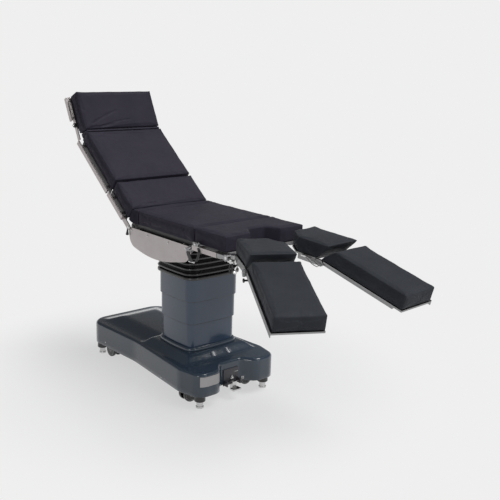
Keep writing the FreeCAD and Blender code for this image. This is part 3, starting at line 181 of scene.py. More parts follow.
def lamp(name, kind, at, towards, **values):
    """A lamp at a place, turned so that its beam runs towards a point."""
    data = bpy.data.lights.new(name, kind)
    for key, value in values.items():
        setattr(data, key, value)
    made = bpy.data.objects.new(name, data)
    made.location = at
    made.rotation_euler = (Vector(towards) - Vector(at)).to_track_quat("-Z", "Y").to_euler()
    scene.collection.objects.link(made)


studio_air(light_level=0.24, dim_from=0.06, dim_to=0.34, dim_level=0.16)
studio_floor(radius=14, fade_from=0.6, fade_to=1.5, least=0.66, shown_tone=0.86, light_tone=0.30)
lamp("overhead", "SUN", (1.9, 1.5, 5), (0, 0, 0), energy=1.75, angle=0.6)
lamp("left_strip", "AREA", (3.3, -5.1, 1.6), (0.1, 0, 0.6), shape="RECTANGLE", size=0.8, size_y=3.2,
     energy=30)
lamp("right_strip", "AREA", (6.1, 0.7, 1.6), (0.1, 0, 0.6), shape="RECTANGLE", size=0.5, size_y=3.2,
     energy=20)


# Base frame
# Welded steel beams with outriggers, hidden under the cover, and the pump, motor and battery box
# on them. The steel is grey primer over a brushed surface.
class Finish:
    """A principled shader with the nodes that give its surface its detail."""

    def __init__(self, name):
        self.mat = bpy.data.materials.new(name)
        self.mat.use_nodes = True
        self.tree = self.mat.node_tree
        self.shader = self.tree.nodes["Principled BSDF"]
        self.where = self.tree.nodes.new("ShaderNodeTexCoord").outputs["Object"]

    def node(self, kind, **values):
        made = self.tree.nodes.new(kind)
        for key, value in values.items():
            setattr(made, key, value)
        return made

    def link(self, source, target):
        self.tree.links.new(source, target)

    def noise(self, scale, detail=3.0, rough=0.55, stretch=None):
        """Cloudy values from 0 to 1, with lines along an axis where it is stretched."""
        where = self.where
        if stretch:
            mapping = self.node("ShaderNodeMapping")
            mapping.inputs["Scale"].default_value = stretch
            self.link(where, mapping.inputs["Vector"])
            where = mapping.outputs[0]
        made = self.node("ShaderNodeTexNoise")
        for socket, value in (("Scale", scale), ("Detail", detail), ("Roughness", rough)):
            made.inputs[socket].default_value = value
        self.link(where, made.inputs["Vector"])
        return made.outputs["Fac"]

    def ranged(self, source, low, high, from_low=0.3, from_high=0.7):
        """A straight line through two pairs of values, cut off at its ends."""
        made = self.node("ShaderNodeMapRange")
        for socket, value in (("From Min", from_low), ("From Max", from_high), ("To Min", low),
                              ("To Max", high)):
            made.inputs[socket].default_value = value
        self.link(source, made.inputs["Value"])
        return made.outputs[0]

    def mixed(self, factor, first, second):
        """A blend of two colours by a factor."""
        made = self.node("ShaderNodeMix", data_type="RGBA")
        self.link(factor, made.inputs["Factor"])
        for value, name in ((first, "A"), (second, "B")):
            colour = next(s for s in made.inputs if s.name == name and s.type == "RGBA")
            if isinstance(value, tuple):
                colour.default_value = value
            else:
                self.link(value, colour)
        return next(s for s in made.outputs if s.type == "RGBA")

    def math(self, operation, first, second=0.0):
        made = self.node("ShaderNodeMath", operation=operation)
        for value, socket in ((first, made.inputs[0]), (second, made.inputs[1])):
            if isinstance(value, (int, float)):
                socket.default_value = value
            else:
                self.link(value, socket)
        return made.outputs[0]

    def bump(self, height, strength, distance, after=None):
        made = self.node("ShaderNodeBump")
        made.inputs["Strength"].default_value = strength
        made.inputs["Distance"].default_value = distance
        self.link(height, made.inputs["Height"])
        if after is not None:
            self.link(after, made.inputs["Normal"])
        self.link(made.outputs[0], self.shader.inputs["Normal"])
        return made.outputs[0]

    def coloured(self, light, dark, tone, edge_share=0.35, gain=1.4):
        """The two tones by a cloud, with the outer edges a little brighter."""
        # Convex edges, found by pointiness, are mixed towards a brighter copy of the light tone.
        brighter_edge_tone = tuple(min(1.0, c * gain + 0.006) for c in light[:3]) + (1.0,)
        edges = self.ranged(self.node("ShaderNodeNewGeometry").outputs["Pointiness"], 0, 1, 0.53, 0.62)
        colour = self.mixed(self.ranged(tone, 0, 1), dark, light)
        colour = self.mixed(self.math("MULTIPLY", edges, edge_share), colour, brighter_edge_tone)
        self.link(colour, self.shader.inputs["Base Color"])

    def rough(self, cloud, middle, spread=0.06):
        self.link(self.ranged(cloud, middle - spread, middle + spread), self.shader.inputs["Roughness"])

    def fixed(self, **values):
        names = {"metal": "Metallic", "coat": "Coat Weight", "coat_rough": "Coat Roughness",
                 "sheen": "Sheen Weight", "sheen_rough": "Sheen Roughness", "level": "Specular IOR Level"}
        for key, value in values.items():
            self.shader.inputs[names[key]].default_value = value


finishes = {}


def finish(slot, made):
    """Keep a finish by its slot, and put it on every solid of the model that has that slot."""
    finishes[slot] = made.mat
    for solid in nodes.values():
        for spot in solid.material_slots:
            if spot.material and spot.material.name.split(".")[0] == slot:
                spot.material = made.mat


def metal(slot, light, dark, rough, brush=(1, 1, 1), depth=0.12):
    """Bare metal: lines where it was brushed or turned, and dull marks where it was handled."""
    made = Finish(slot + "_finish")
    lines = made.noise(120.0, 4.0, 0.6, brush)
    made.coloured(light, dark, lines, 0.5, 1.15)
    made.rough(made.noise(14.0, 5.0, 0.6), rough, 0.07)
    first = made.bump(lines, depth, 0.0005)
    made.bump(made.noise(420.0, 2.0), 0.05, 0.0004, first)
    made.fixed(metal=1.0)
    finish(slot, made)


metal("frame_steel", srgb(112, 114, 118), srgb(92, 94, 98), 0.46)


# Feet
# Four jacking feet: a steel spindle with a nut and a round pad, in a black sleeve under the frame.
# All are turned parts, so each is a profile spun about its own axis.
def grid_piece(name, grid, ring=False, shut=False, angle=35):
    """A surface through a grid of points, rows by columns.

    Neighbouring points make quads; ring joins the last column to the first, and shut closes
    the first and last rows with a face each.
    """
    rows, columns = grid.shape[:2]
    number = np.arange(rows * columns).reshape(rows, columns)
    left = number if ring else number[:, :-1]
    right = np.roll(number, -1, axis=1) if ring else number[:, 1:]
    faces = np.stack([left[:-1], right[:-1], right[1:], left[1:]], axis=-1).reshape(-1, 4).tolist()
    if shut:
        faces += [number[0, ::-1].tolist(), number[-1].tolist()]
    mesh = bpy.data.meshes.new(name)
    mesh.from_pydata(grid.reshape(-1, 3).tolist(), [], faces)
    work = bmesh.new()
    work.from_mesh(mesh)
    bmesh.ops.remove_doubles(work, verts=work.verts, dist=1e-6)
    bmesh.ops.dissolve_degenerate(work, edges=work.edges, dist=1e-7)
    bmesh.ops.recalc_face_normals(work, faces=work.faces)
    work.to_mesh(mesh)
    work.free()
    mesh.shade_smooth()
    mesh.set_sharp_from_angle(angle=math.radians(angle))
    made = bpy.data.objects.new(name, mesh)
    scene.collection.objects.link(made)
    return made


def dress(piece, slot, body, *replaced):
    """Give a piece its finish, its body and the solids that it stands for."""
    piece.data.materials.clear()
    piece.data.materials.append(finishes[slot])
    if body:
        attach(piece, body)
    if replaced:
        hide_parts(*replaced)
    return piece


def shift(x, y, z):
    return Matrix.Translation((x, y, z))


def turn(degrees, axis):
    return Matrix.Rotation(math.radians(degrees), 4, axis)


def placed(points, place):
    """Points moved by a frame: its rotation times each point, plus its origin."""
    frame_of = np.array(place)
    return points @ frame_of[:3, :3].T + frame_of[:3, 3]


def turned(name, place, profile, steps=40, lobes=0, depth=0.0):
    """A profile of (radius, height) spun about the frame's Z axis.

    With lobes, the radius swings by depth times the cosine of that many turns.
    """
    radius, height = np.array(profile, float).T
    angles = np.arange(steps) * math.tau / steps
    swing = 1 + depth * np.cos(lobes * angles)
    grid = np.stack([radius[:, None] * (np.cos(angles) * swing), radius[:, None] * (np.sin(angles) * swing),
                     height[:, None] + 0 * angles], axis=-1)
    return grid_piece(name, placed(grid, place), ring=True, shut=True)


def plastic(slot, light, dark, rough, grain=380.0, depth=0.18, coat=0.0):
    """Moulded plastic or rubber: a fine spark-eroded grain of cells."""
    made = Finish(slot + "_finish")
    cells = made.node("ShaderNodeTexVoronoi")
    cells.inputs["Scale"].default_value = grain
    made.link(made.where, cells.inputs["Vector"])
    made.coloured(light, dark, made.noise(11.0, 4.0), 0.4, 1.6)
    made.rough(made.noise(30.0, 4.0), rough, 0.06)
    made.bump(cells.outputs["Distance"], depth, 0.0005)
    made.fixed(level=0.5, coat=coat, coat_rough=0.15)
    finish(slot, made)


metal("bright_steel", srgb(214, 214, 213), srgb(190, 190, 190), 0.22, (6, 6, 6), 0.05)
plastic("black_rubber", srgb(26, 26, 27), srgb(17, 17, 19), 0.30, 240.0, 0.10, 0.4)
foot_pad = [(0.0180, 0.0), (0.0208, 0.0012), (0.0210, 0.0070), (0.0202, 0.0100), (0.0175, 0.0114),
            (0.0172, 0.0225), (0.0180, 0.0240), (0.0180, 0.0370), (0.0172, 0.0377), (0.0120, 0.0378),
            (0.0120, 0.1515), (0.0110, 0.1520)]
foot_sleeve = [(0.0184, 0.0384), (0.0272, 0.0380), (0.0298, 0.0405), (0.0300, 0.0520), (0.0292, 0.0560),
               (0.0292, 0.0700), (0.0300, 0.0740), (0.0300, 0.0995), (0.0290, 0.1000), (0.0122, 0.1000),
               (0.0122, 0.0490), (0.0184, 0.0485), (0.0184, 0.0384)]
for foot, (x, y) in enumerate([(-0.501, -0.218), (-0.501, 0.218), (0.480, -0.218), (0.480, 0.218)]):
    dress(turned(f"foot_{foot}", shift(x, y, 0), foot_pad), "bright_steel", "feet", "foot_tips")
    radius, height = np.array(foot_sleeve).T
    angles = np.arange(40) * math.tau / 40
    wall = np.stack([radius[:, None] * np.cos(angles) + x, radius[:, None] * np.sin(angles) + y,
                     height[:, None] + 0 * angles], axis=-1)
    dress(grid_piece(f"foot_sleeve_{foot}", wall, ring=True), "black_rubber", "base", "foot_sleeves")


# Castors
# Twin wheels under the cover: pale nylon hubs in thin black tyres, either side of a black body.
# The front pair can swivel and stands across the table, and the rear pair is fixed.
plastic("grey_plastic", srgb(176, 177, 176), srgb(156, 157, 157), 0.42)
plastic("black_plastic", srgb(30, 30, 32), srgb(22, 22, 24), 0.34)
tyre = [(0.0380, 0.0125), (0.0398, 0.0125), (0.0414, 0.0145), (0.0420, 0.0180), (0.0420, 0.0250),
        (0.0412, 0.0290), (0.0398, 0.0306), (0.0383, 0.0308), (0.0380, 0.0300)]
hub = [(0.0379, 0.0125), (0.0379, 0.0294), (0.0368, 0.0306), (0.0330, 0.0306), (0.0312, 0.0280),
       (0.0150, 0.0268), (0.0130, 0.0300), (0.0110, 0.0308), (0.0045, 0.0308), (0.0040, 0.0290)]
for end, x, facing in (("front", 0.374, "X"), ("rear", -0.409, "Y")):
    for hand, side in (("near", -1), ("far", 1)):
        body = f"wheel_{end}_{hand}"
        centre = shift(x, side * 0.190 - (0.025 if end == "front" else 0), 0.046)
        for disc, way in enumerate((1, -1)):
            at = centre @ (turn(90 * way, "Y") if facing == "X" else turn(-90 * way, "X"))
            dress(turned(f"{body}_tyre_{disc}", at, tyre), "black_rubber", body,
                  f"castor_{body}")
            dress(turned(f"{body}_hub_{disc}", at, hub), "grey_plastic", body)


# Base cover
# One large moulding in gloss paint with a rounded rear, a waist and two lobes, and a raised seat
# that flows up to the column. It drops over the frame and is screwed to it low on its sides.
def rounded(corners, radii):
    """An outline through corners, each replaced by the arc that touches both of its sides."""
    corners = np.array(corners, float)
    pieces = []
    for here, last, following, radius in zip(corners, np.roll(corners, 1, axis=0),
                                             np.roll(corners, -1, axis=0), radii):
        one, two = last - here, following - here
        one, two = one / np.linalg.norm(one), two / np.linalg.norm(two)
        half = math.acos(np.clip(one @ two, -1, 1)) / 2
        centre = here + (one + two) / np.linalg.norm(one + two) * radius / math.sin(half)
        first = here + one * radius / math.tan(half) - centre
        final = here + two * radius / math.tan(half) - centre
        begin, swing = math.atan2(first[1], first[0]), math.atan2(final[1], final[0])
        swing = (swing - begin + math.pi) % math.tau - math.pi
        angles = begin + swing * np.linspace(0, 1, 17)
        pieces.append(centre + radius * np.column_stack([np.cos(angles), np.sin(angles)]))
    return np.vstack(pieces)


def resampled(loop, spacing):
    """Points at equal steps round a closed outline, by its length."""
    closed = np.vstack([loop, loop[:1]])
    at = np.concatenate([[0], np.cumsum(np.linalg.norm(np.diff(closed, axis=0), axis=1))])
    where = np.arange(max(8, round(at[-1] / spacing))) / max(8, round(at[-1] / spacing)) * at[-1]
    return np.column_stack([np.interp(where, at, closed[:, i]) for i in range(loop.shape[1])])


def anticlockwise(loop):
    ahead = np.roll(loop, -1, axis=0)
    return loop if (loop[:, 0] * ahead[:, 1] - ahead[:, 0] * loop[:, 1]).sum() > 0 else loop[::-1]


def outward(loop):
    """Unit normals of an anticlockwise outline: its direction turned a quarter clockwise."""
    along = np.roll(loop, -1, axis=0) - np.roll(loop, 1, axis=0)
    return np.column_stack([along[:, 1], -along[:, 0]]) / np.linalg.norm(along, axis=1)[:, None]


def outline_of(node, spacing=0.006):
    """The outline of a convex solid from above, by its convex hull."""
    mesh = nodes[node].data
    points = np.empty(len(mesh.vertices) * 3)
    mesh.vertices.foreach_get("co", points)
    flat = points.reshape(-1, 3)[:, :2]
    hull = flat[convex_hull_2d([Vector(p) for p in flat.tolist()])]
    return resampled(anticlockwise(hull), spacing)


def carried(name, outline, profile, angle=35):
    """A closed profile of (outward, height) carried round a closed outline."""
    out, height = np.array([*profile, profile[0]], float).T
    flat = outline + outward(outline) * out[:, None, None]
    grid = np.dstack([flat, np.broadcast_to(height[:, None], flat.shape[:2])])
    return grid_piece(name, grid, ring=True, angle=angle)


def paint(slot, light, dark, rough, coat):
    """Sprayed gloss paint: a faint cloud of tone, soft smears and a trace of orange peel."""
    made = Finish(slot + "_finish")
    made.coloured(light, dark, made.noise(3.2, 3.0), 0.25, 1.35)
    made.rough(made.noise(7.0, 3.0, 0.5), rough, 0.03)
    peel = made.bump(made.noise(180.0, 1.0), 0.02, 0.0005)
    made.bump(made.noise(7.0, 1.0), 0.03, 0.008, peel)
    made.fixed(coat=coat, coat_rough=0.08, level=0.42)
    finish(slot, made)


def smooth_rows(values, rounds):
    """Heights on a ring of rows, each moved towards its neighbours; the first row stays."""
    for _ in range(rounds):
        side = (np.roll(values, 1, axis=1) + np.roll(values, -1, axis=1)) / 2
        above = np.vstack([values[:1], values[:-1]])
        below = np.vstack([values[1:], values[-1:]])
        values = np.vstack([values[:1], (values / 2 + side / 4 + (above + below) / 8)[1:]])
    return values


paint("cover_shell", srgb(60, 75, 91), srgb(54, 68, 84), 0.20, 0.60)
cover_low, cover_high, cover_soft, deck_high = 0.075, 0.203, 0.016, 0.240
side_corners = [(-0.578, 0.262), (-0.105, 0.244), (0.385, 0.288), (0.532, 0.258), (0.532, 0.128),
                (0.462, 0.070)]
side_rounds = [0.100, 0.600, 0.150, 0.068, 0.068, 0.036]
cover_outline = resampled(anticlockwise(rounded(
    side_corners + [(x, -y) for x, y in side_corners[::-1]], side_rounds + side_rounds[::-1])), 0.0065)
column_middle = np.array([0.167, 0.0])
arc = np.radians(np.arange(0, 91, 10))
wall_inset = np.concatenate([[0.0012, 0, 0, 0, 0, 0], cover_soft * (1 - np.cos(arc))])
wall_height = np.concatenate([[cover_low, cover_low + 0.0015, 0.10, 0.125, 0.15, 0.17],
                              cover_high - cover_soft + cover_soft * np.sin(arc)])
wall_flat = cover_outline - outward(cover_outline) * wall_inset[:, None, None]
wall = np.dstack([wall_flat, np.broadcast_to(wall_height[:, None], wall_flat.shape[:2])])
column_hole = outline_of("lower_cover")
column_hole = column_hole - outward(column_hole) * 0.004 - column_middle
hole_angle = np.arctan2(column_hole[:, 1], column_hole[:, 0])
rim = wall[-1, :, :2] - column_middle
rim_angle = np.arctan2(rim[:, 1], rim[:, 0])
hole_reach = np.interp(rim_angle, hole_angle, np.linalg.norm(column_hole, axis=1), period=math.tau)
hole_rim = np.column_stack([np.cos(rim_angle), np.sin(rim_angle)]) * hole_reach[:, None]
share = np.linspace(0, 1, 66)[1:, None, None]
deck = column_middle + rim + (hole_rim - rim) * share
x, y = np.abs(deck[..., 0] - 0.167), np.abs(deck[..., 1])
spine_run = np.minimum((deck[..., 0] + 0.470 + 0.060) / 0.120, (0.104 + 0.105 - y) / 0.105)
seat_run = np.minimum((0.168 + 0.060 - x) / 0.060, (0.182 + 0.060 - y) / 0.060)
spine_run = np.where(deck[..., 0] > 0.167, 0, spine_run)
climb = np.clip(np.maximum(spine_run, seat_run), 0, 1)
rise = cover_high + (deck_high - cover_high) * climb * climb * (3 - 2 * climb)
rise = smooth_rows(np.vstack([wall[-1:, :, 2], rise]), 14)[1:]
shell = grid_piece("base_shell", np.vstack([wall, np.dstack([deck, rise])]), ring=True, angle=60)
thick = shell.modifiers.new("wall", "SOLIDIFY")
thick.thickness = 0.004
thick.offset = -1
dress(shell, "cover_shell", "base", "base_cover")

screw_head = [(0.0042, -0.0015), (0.0042, 0.0004), (0.0036, 0.0012), (0.0018, 0.0015), (0.0017, 0.0006)]
for side in (-1, 1):
    for spot, (x, y, z) in enumerate([(-0.404, 0.2554, 0.102), (0.203, 0.2717, 0.088)]):
        dress(turned(f"skirt_screw_{spot}_{'near' if side < 0 else 'far'}",
                     shift(x, side * y, z) @ turn(-90 * side, "X"), screw_head, 20),
              "bright_steel", "base")


# Front of the base
# A bare foil plate on the near lobe. In the notch a flush panel carries the three-armed lock
# handle, a pale strip that paints the highlight on the panel's top edge and a capped screw, over
# the pedal that lets the brake off.
metal("label_foil", srgb(160, 158, 158), srgb(132, 130, 131), 0.40, (3, 3, 24), 0.25)
plastic("panel_plastic", srgb(74, 73, 79), srgb(64, 64, 70), 0.32)
plastic("white_plastic", srgb(226, 226, 224), srgb(208, 208, 206), 0.36)
notch_face = 0.467


def pale(piece, body, *replaced):
    """Dress a piece in the white moulding, which the model counts with the grey plastic."""
    dress(piece, "grey_plastic", body, *replaced)
    piece.data.materials[0] = finishes["white_plastic"]


def star_outline(arms, inner, outer, points=96, sharp=3.0):
    """A star: the radius swings between two values by a raised cosine to a power."""
    angles = np.arange(points) * math.tau / points
    swing = (0.5 + 0.5 * np.cos(arms * angles)) ** sharp
    radius = inner + (outer - inner) * swing
    return np.column_stack([radius * np.cos(angles), radius * np.sin(angles)])


def plate(name, outline, low, high, place, edge=0.0007):
    """A flat plate: an outline between two heights of a frame, with its edges eased."""
    normal = outward(outline)
    rows = [outline - normal * edge, outline, outline, outline - normal * edge]
    heights = (low, low + edge, high - edge, high)
    grid = np.stack([np.column_stack([row, np.full(len(row), z)]) for row, z in zip(rows, heights)])
    return grid_piece(name, placed(grid, place), ring=True, shut=True)


def stadium(long, wide, points=12):
    """A bar outline with round ends, centred, along X."""
    turn_half = np.linspace(-math.pi / 2, math.pi / 2, points)
    end = np.column_stack([np.cos(turn_half), np.sin(turn_half)]) * wide / 2
    shift_end = np.array([(long - wide) / 2, 0])
    return np.vstack([end + shift_end, -end - shift_end])


facing_ahead = Matrix(((0, 0, 1, 0), (1, 0, 0, 0), (0, 1, 0, 0), (0, 0, 0, 1)))
handle_frame = shift(notch_face, 0.004, 0.109) @ facing_ahead
arms = plate("lock_handle_arms", star_outline(3, 0.0040, 0.0125) @ np.array([[0, 1], [-1, 0]]),
             0.0035, 0.0085, handle_frame)
pale(arms, "lock_handle", "lock_handle")
dress(turned("lock_handle_hub", handle_frame,
             [(0.0040, -0.0045), (0.0040, 0.0005), (0.0062, 0.0010), (0.0062, 0.0045), (0.0055, 0.0095),
              (0.0030, 0.0105)], 28), "bright_steel", "lock_handle")
# A thin pale strip along the panel's top edge: a painted highlight.
highlight_strip_frame = shift(notch_face, 0.037, 0.1365) @ facing_ahead
pale(plate("painted_highlight_strip", stadium(0.024, 0.0032), -0.0005, 0.0010, highlight_strip_frame, 0.0003), "base")
flank = Vector((0.638, -0.770, 0)).to_track_quat("Z", "Y").to_matrix().to_4x4()
pale(turned("flank_cap", shift(0.4717, 0.0780, 0.0900) @ flank,
            [(0.0092, -0.0030), (0.0094, 0.0045), (0.0086, 0.0062), (0.0040, 0.0068), (0.0036, 0.0052)], 32),
     "base")


# Column covers
# Three nested sheet covers in gloss paint, each a little larger than the one below, with a thin black
# lip under each step that paints the shadow line below it, and a rounded trim collar where the
# lowest one enters the base.
paint("cover_paint", srgb(62, 80, 103), srgb(56, 73, 96), 0.20, 0.50)
collar = [(0.0006, 0.2405), (0.0150, 0.2405), (0.0158, 0.2435), (0.0154, 0.2500), (0.0135, 0.2560),
          (0.0100, 0.2600), (0.0060, 0.2615), (0.0024, 0.2608), (0.0006, 0.2590)]
dress(carried("column_trim", outline_of("lower_cover"), collar), "cover_shell", "base", "column_collar")
for below, above, edge in (("lower", "middle", 0.391), ("middle", "top", 0.518)):
    # A thin black ring under each cover's lower edge: painted shadow along the step.
    lip = [(0.0004, edge - 0.0020), (0.0058, edge - 0.0024), (0.0064, edge - 0.0012), (0.0062, edge),
           (0.0004, edge)]
    dress(carried(f"painted_shadow_lip_{above}", outline_of(f"{below}_cover"), lip), "black_rubber",
          f"column_{above}")


# Bellows
# A black rubber gaiter in a few deep folds, clamped by a glossy flange to the top of the column.
# It hides the cross block that both tilts turn on.
bellows_outline = outline_of("upper_cover", 0.008)
folds, bellows_low, bellows_high = 6, 0.6570, 0.8285
along_folds = np.linspace(0, 1, folds * 12 + 1)
swell = (0.5 - 0.5 * np.cos(along_folds * folds * math.tau)) ** 0.55
bellows_rise = bellows_low + (bellows_high - bellows_low) * along_folds
outer_side = np.column_stack([0.0030 + 0.0115 * swell, bellows_rise])
inner_side = np.array([(0.0015, bellows_high), (0.0015, bellows_low)])
gaiter = dress(carried("gaiter", bellows_outline, np.vstack([outer_side, inner_side]), 75),
               "black_rubber", None, "bellows")
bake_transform(gaiter)
flange = [(0.0004, 0.6404), (0.0125, 0.6404), (0.0146, 0.6418), (0.0152, 0.6450), (0.0148, 0.6510),
          (0.0130, 0.6545), (0.0090, 0.6562), (0.0004, 0.6562)]
dress(carried("gaiter_flange", bellows_outline, flange), "black_rubber", "column_top", "bellows")


# Frames of the table top
# The seat lies level. The back is up by 38 degrees, the head 26 degrees more, and each leg hangs
# from its hip block, swings out on the splay pivot and bends at the knee.
SEAT = shift(-0.088, 0, 0.965)
BACK = SEAT @ turn(38, "Y") @ turn(180, "Z")
HEAD = BACK @ shift(0.626, 0, 0) @ turn(-26, "Y")
THIGH, CALF, HIP = {}, {}, {}
for hand, side, splay, pitch, knee in (("near", -1, 28.3, 1.1, 14.2), ("far", 1, 2.8, 3.6, 11.7)):
    HIP[hand] = SEAT @ shift(0.833, side * 0.256, -0.093) @ turn(pitch, "Y")
    THIGH[hand] = HIP[hand] @ shift(0.037, 0, 0.026) @ turn(side * splay, "Z")
    CALF[hand] = THIGH[hand] @ shift(0.242, 0, -0.021) @ turn(knee, "Y")


# Metalwork of the seat
# Satin D-shaped side plates held by socket screws, accessory rails, hinge arms at the fold, and
# on each side a release shaft with a hanging lever, next to a clamp with a curved black handle.
metal("satin_steel", srgb(176, 170, 169), srgb(160, 156, 155), 0.40, (1.2, 14, 14))
metal("light_alloy", srgb(150, 150, 151), srgb(128, 128, 130), 0.40, (1.5, 10, 10))


def smooth_path(points, pieces=10):
    """A Catmull-Rom curve: between two points a cubic, with half of their neighbours' step as
    its direction at each end."""
    points = np.array(points, float)
    padded = np.vstack([2 * points[0] - points[1], points, 2 * points[-1] - points[-2]])
    t = np.linspace(0, 1, pieces, endpoint=False)[:, None]
    a, b, c, d = (padded[i:len(padded) - 3 + i, None] for i in range(4))
    curve = 0.5 * (2 * b + (c - a) * t + (2 * a - 5 * b + 4 * c - d) * t ** 2
                   + (3 * b - a - 3 * c + d) * t ** 3)
    return np.vstack([curve.reshape(-1, 3), points[-1:]])


def rod_along(name, points, radius, place=None, steps=14, taper=None, aside=(0, 1, 0)):
    """A round rod: circles across a smooth path, sized by the radius and an optional taper."""
    path = smooth_path(points)
    tangent = np.gradient(path, axis=0)
    tangent /= np.linalg.norm(tangent, axis=1)[:, None]
    one = np.cross(tangent, aside)
    one /= np.linalg.norm(one, axis=1)[:, None]
    two = np.cross(tangent, one)
    sizes = np.full(len(path), radius) if taper is None else np.interp(
        np.linspace(0, 1, len(path)), np.linspace(0, 1, len(taper)), taper)
    angles = np.arange(steps) * math.tau / steps
    circle = one[:, None] * np.cos(angles)[:, None] + two[:, None] * np.sin(angles)[:, None]
    body = path[:, None] + circle * sizes[:, None, None]
    ends = [path[:1, None] + circle[:1] * sizes[0] * s - tangent[0] * sizes[0] * d
            for s, d in ((0.5, 0.42), (0.85, 0.22))]
    tips = [path[-1:, None] + circle[-1:] * sizes[-1] * s + tangent[-1] * sizes[-1] * d
            for s, d in ((0.85, 0.22), (0.5, 0.42))]
    grid = np.vstack([*ends, body, *tips])
    return grid_piece(name, placed(grid, place) if place else grid, ring=True, shut=True, angle=60)


def side_frame(side, y=0.0):
    """A frame on one side of the table: X ahead, Y up and Z outward."""
    return Matrix(((1, 0, 0, 0), (0, 0, side, side * y), (0, 1, 0, 0), (0, 0, 0, 1)))


socket_screw = [(0.0050, -0.0010), (0.0052, 0.0022), (0.0046, 0.0030), (0.0026, 0.0030), (0.0024, 0.0012)]
for hand, side in (("near", -1), ("far", 1)):
    skin = side_frame(side, 0.261)
    for spot, (x, z) in enumerate([(-0.096, 0.848), (0.060, 0.846), (0.250, 0.846), (0.404, 0.846),
                                   (0.424, 0.826)]):
        dress(turned(f"plate_screw_{spot}_{hand}", skin @ shift(x, z, 0), socket_screw, 20),
              "bright_steel", "seat")
    arm = stadium(0.100, 0.032)
    lean = np.array([[math.cos(math.radians(142)), math.sin(math.radians(142))],
                     [-math.sin(math.radians(142)), math.cos(math.radians(142))]])
    arm = arm @ lean + np.array([-0.118 - 0.0267, 0.860 + 0.0209])
    dress(plate(f"hinge_arm_{hand}", anticlockwise(arm), 0.2616, 0.2676, side_frame(side)),
          "satin_steel", "lower_back")
    dress(turned(f"hinge_cap_{hand}", side_frame(side, 0.2676) @ shift(-0.118, 0.860, 0),
                 [(0.0090, -0.0010), (0.0090, 0.0016), (0.0078, 0.0026), (0.0030, 0.0028)], 28),
          "bright_steel", "lower_back")
    dress(rod_along(f"rear_stop_{hand}", [(-0.127, 0.853, 0.266), (-0.129, 0.836, 0.266),
                                          (-0.131, 0.818, 0.266)], 0.0050, side_frame(side),
                    taper=[0.0045, 0.0045, 0.0065, 0.0090], aside=(0, 0, 1)), "black_plastic", "seat")
    dress(turned(f"release_hub_{hand}", side_frame(side) @ shift(0.452, 0.853, 0),
                 [(0.0080, 0.2520), (0.0080, 0.2614), (0.0180, 0.2616), (0.0190, 0.2630), (0.0190, 0.2660),
                  (0.0150, 0.2680), (0.0135, 0.2800), (0.0120, 0.2850), (0.0060, 0.2860)], 36),
          "light_alloy", "release_shaft", "release_shaft")
    lever = np.array([(0.440, 0.846), (0.464, 0.846), (0.494, 0.812), (0.497, 0.798), (0.486, 0.793),
                      (0.470, 0.797), (0.448, 0.826)])
    lever = resampled(anticlockwise(rounded(lever, [0.006, 0.006, 0.006, 0.004, 0.004, 0.006, 0.006])), 0.003)
    dress(plate(f"release_lever_{hand}", lever, 0.2815, 0.2868, side_frame(side), 0.0012),
          "black_plastic", "release_shaft")
    dress(rod_along(f"release_bar_{hand}", [(0.466, 0.799, 0.2845), (0.485, 0.796, 0.2845),
                                            (0.504, 0.800, 0.2845)], 0.004, side_frame(side),
                    taper=[0.0058, 0.0030, 0.0030, 0.0058], aside=(0, 0, 1)),
          "bright_steel", "release_shaft")
    block = resampled(anticlockwise(rounded([(0.494, 0.8835), (0.536, 0.8835), (0.536, 0.8960),
                                             (0.528, 0.9030), (0.494, 0.9030)], [0.003] * 5)), 0.003)
    dress(plate(f"rail_clamp_{hand}", block, 0.2700, 0.2852, side_frame(side), 0.0010),
          "light_alloy", "seat")
    dress(rod_along(f"clamp_handle_{hand}",
                    [(0.536, 0.877, 0.2856), (0.546, 0.860, 0.2872), (0.541, 0.834, 0.2872),
                     (0.527, 0.812, 0.2872)], 0.005, side_frame(side),
                    taper=[0.0036, 0.0046, 0.0052, 0.0060], aside=(0, 0, 1)), "black_plastic", "seat")
    dress(turned(f"clamp_screw_{hand}", side_frame(side, 0.2852) @ shift(0.514, 0.893, 0),
                 [(0.0055, -0.0005), (0.0055, 0.0028), (0.0045, 0.0036), (0.0020, 0.0036)], 24),
          "bright_steel", "seat")
dress(turned("release_pin", side_frame(1) @ shift(0.452, 0.853, 0),
             [(0.0078, -0.2525), (0.0080, -0.2520), (0.0080, 0.2520), (0.0078, 0.2525)], 28),
      "bright_steel", "release_shaft")


# Metalwork of the head section
# Two drilled bars hold the head section, clamped by small lobed knobs on one shaft.
dress(turned("head_shaft", HEAD @ shift(0.062, 0, -0.0945) @ side_frame(1),
             [(0.0048, -0.2795), (0.0050, -0.2790), (0.0050, 0.2790), (0.0048, 0.2795)], 24),
      "bright_steel", "head_lock", "head_lock")
for hand, side in (("near", -1), ("far", 1)):
    dress(turned(f"head_knob_{hand}", HEAD @ shift(0.062, 0, -0.0945) @ side_frame(side),
                 [(0.0100, 0.2604), (0.0125, 0.2620), (0.0128, 0.2690), (0.0118, 0.2712), (0.0060, 0.2722)],
                 60, lobes=6, depth=0.10), "black_plastic", "head_lock", "head_lock")


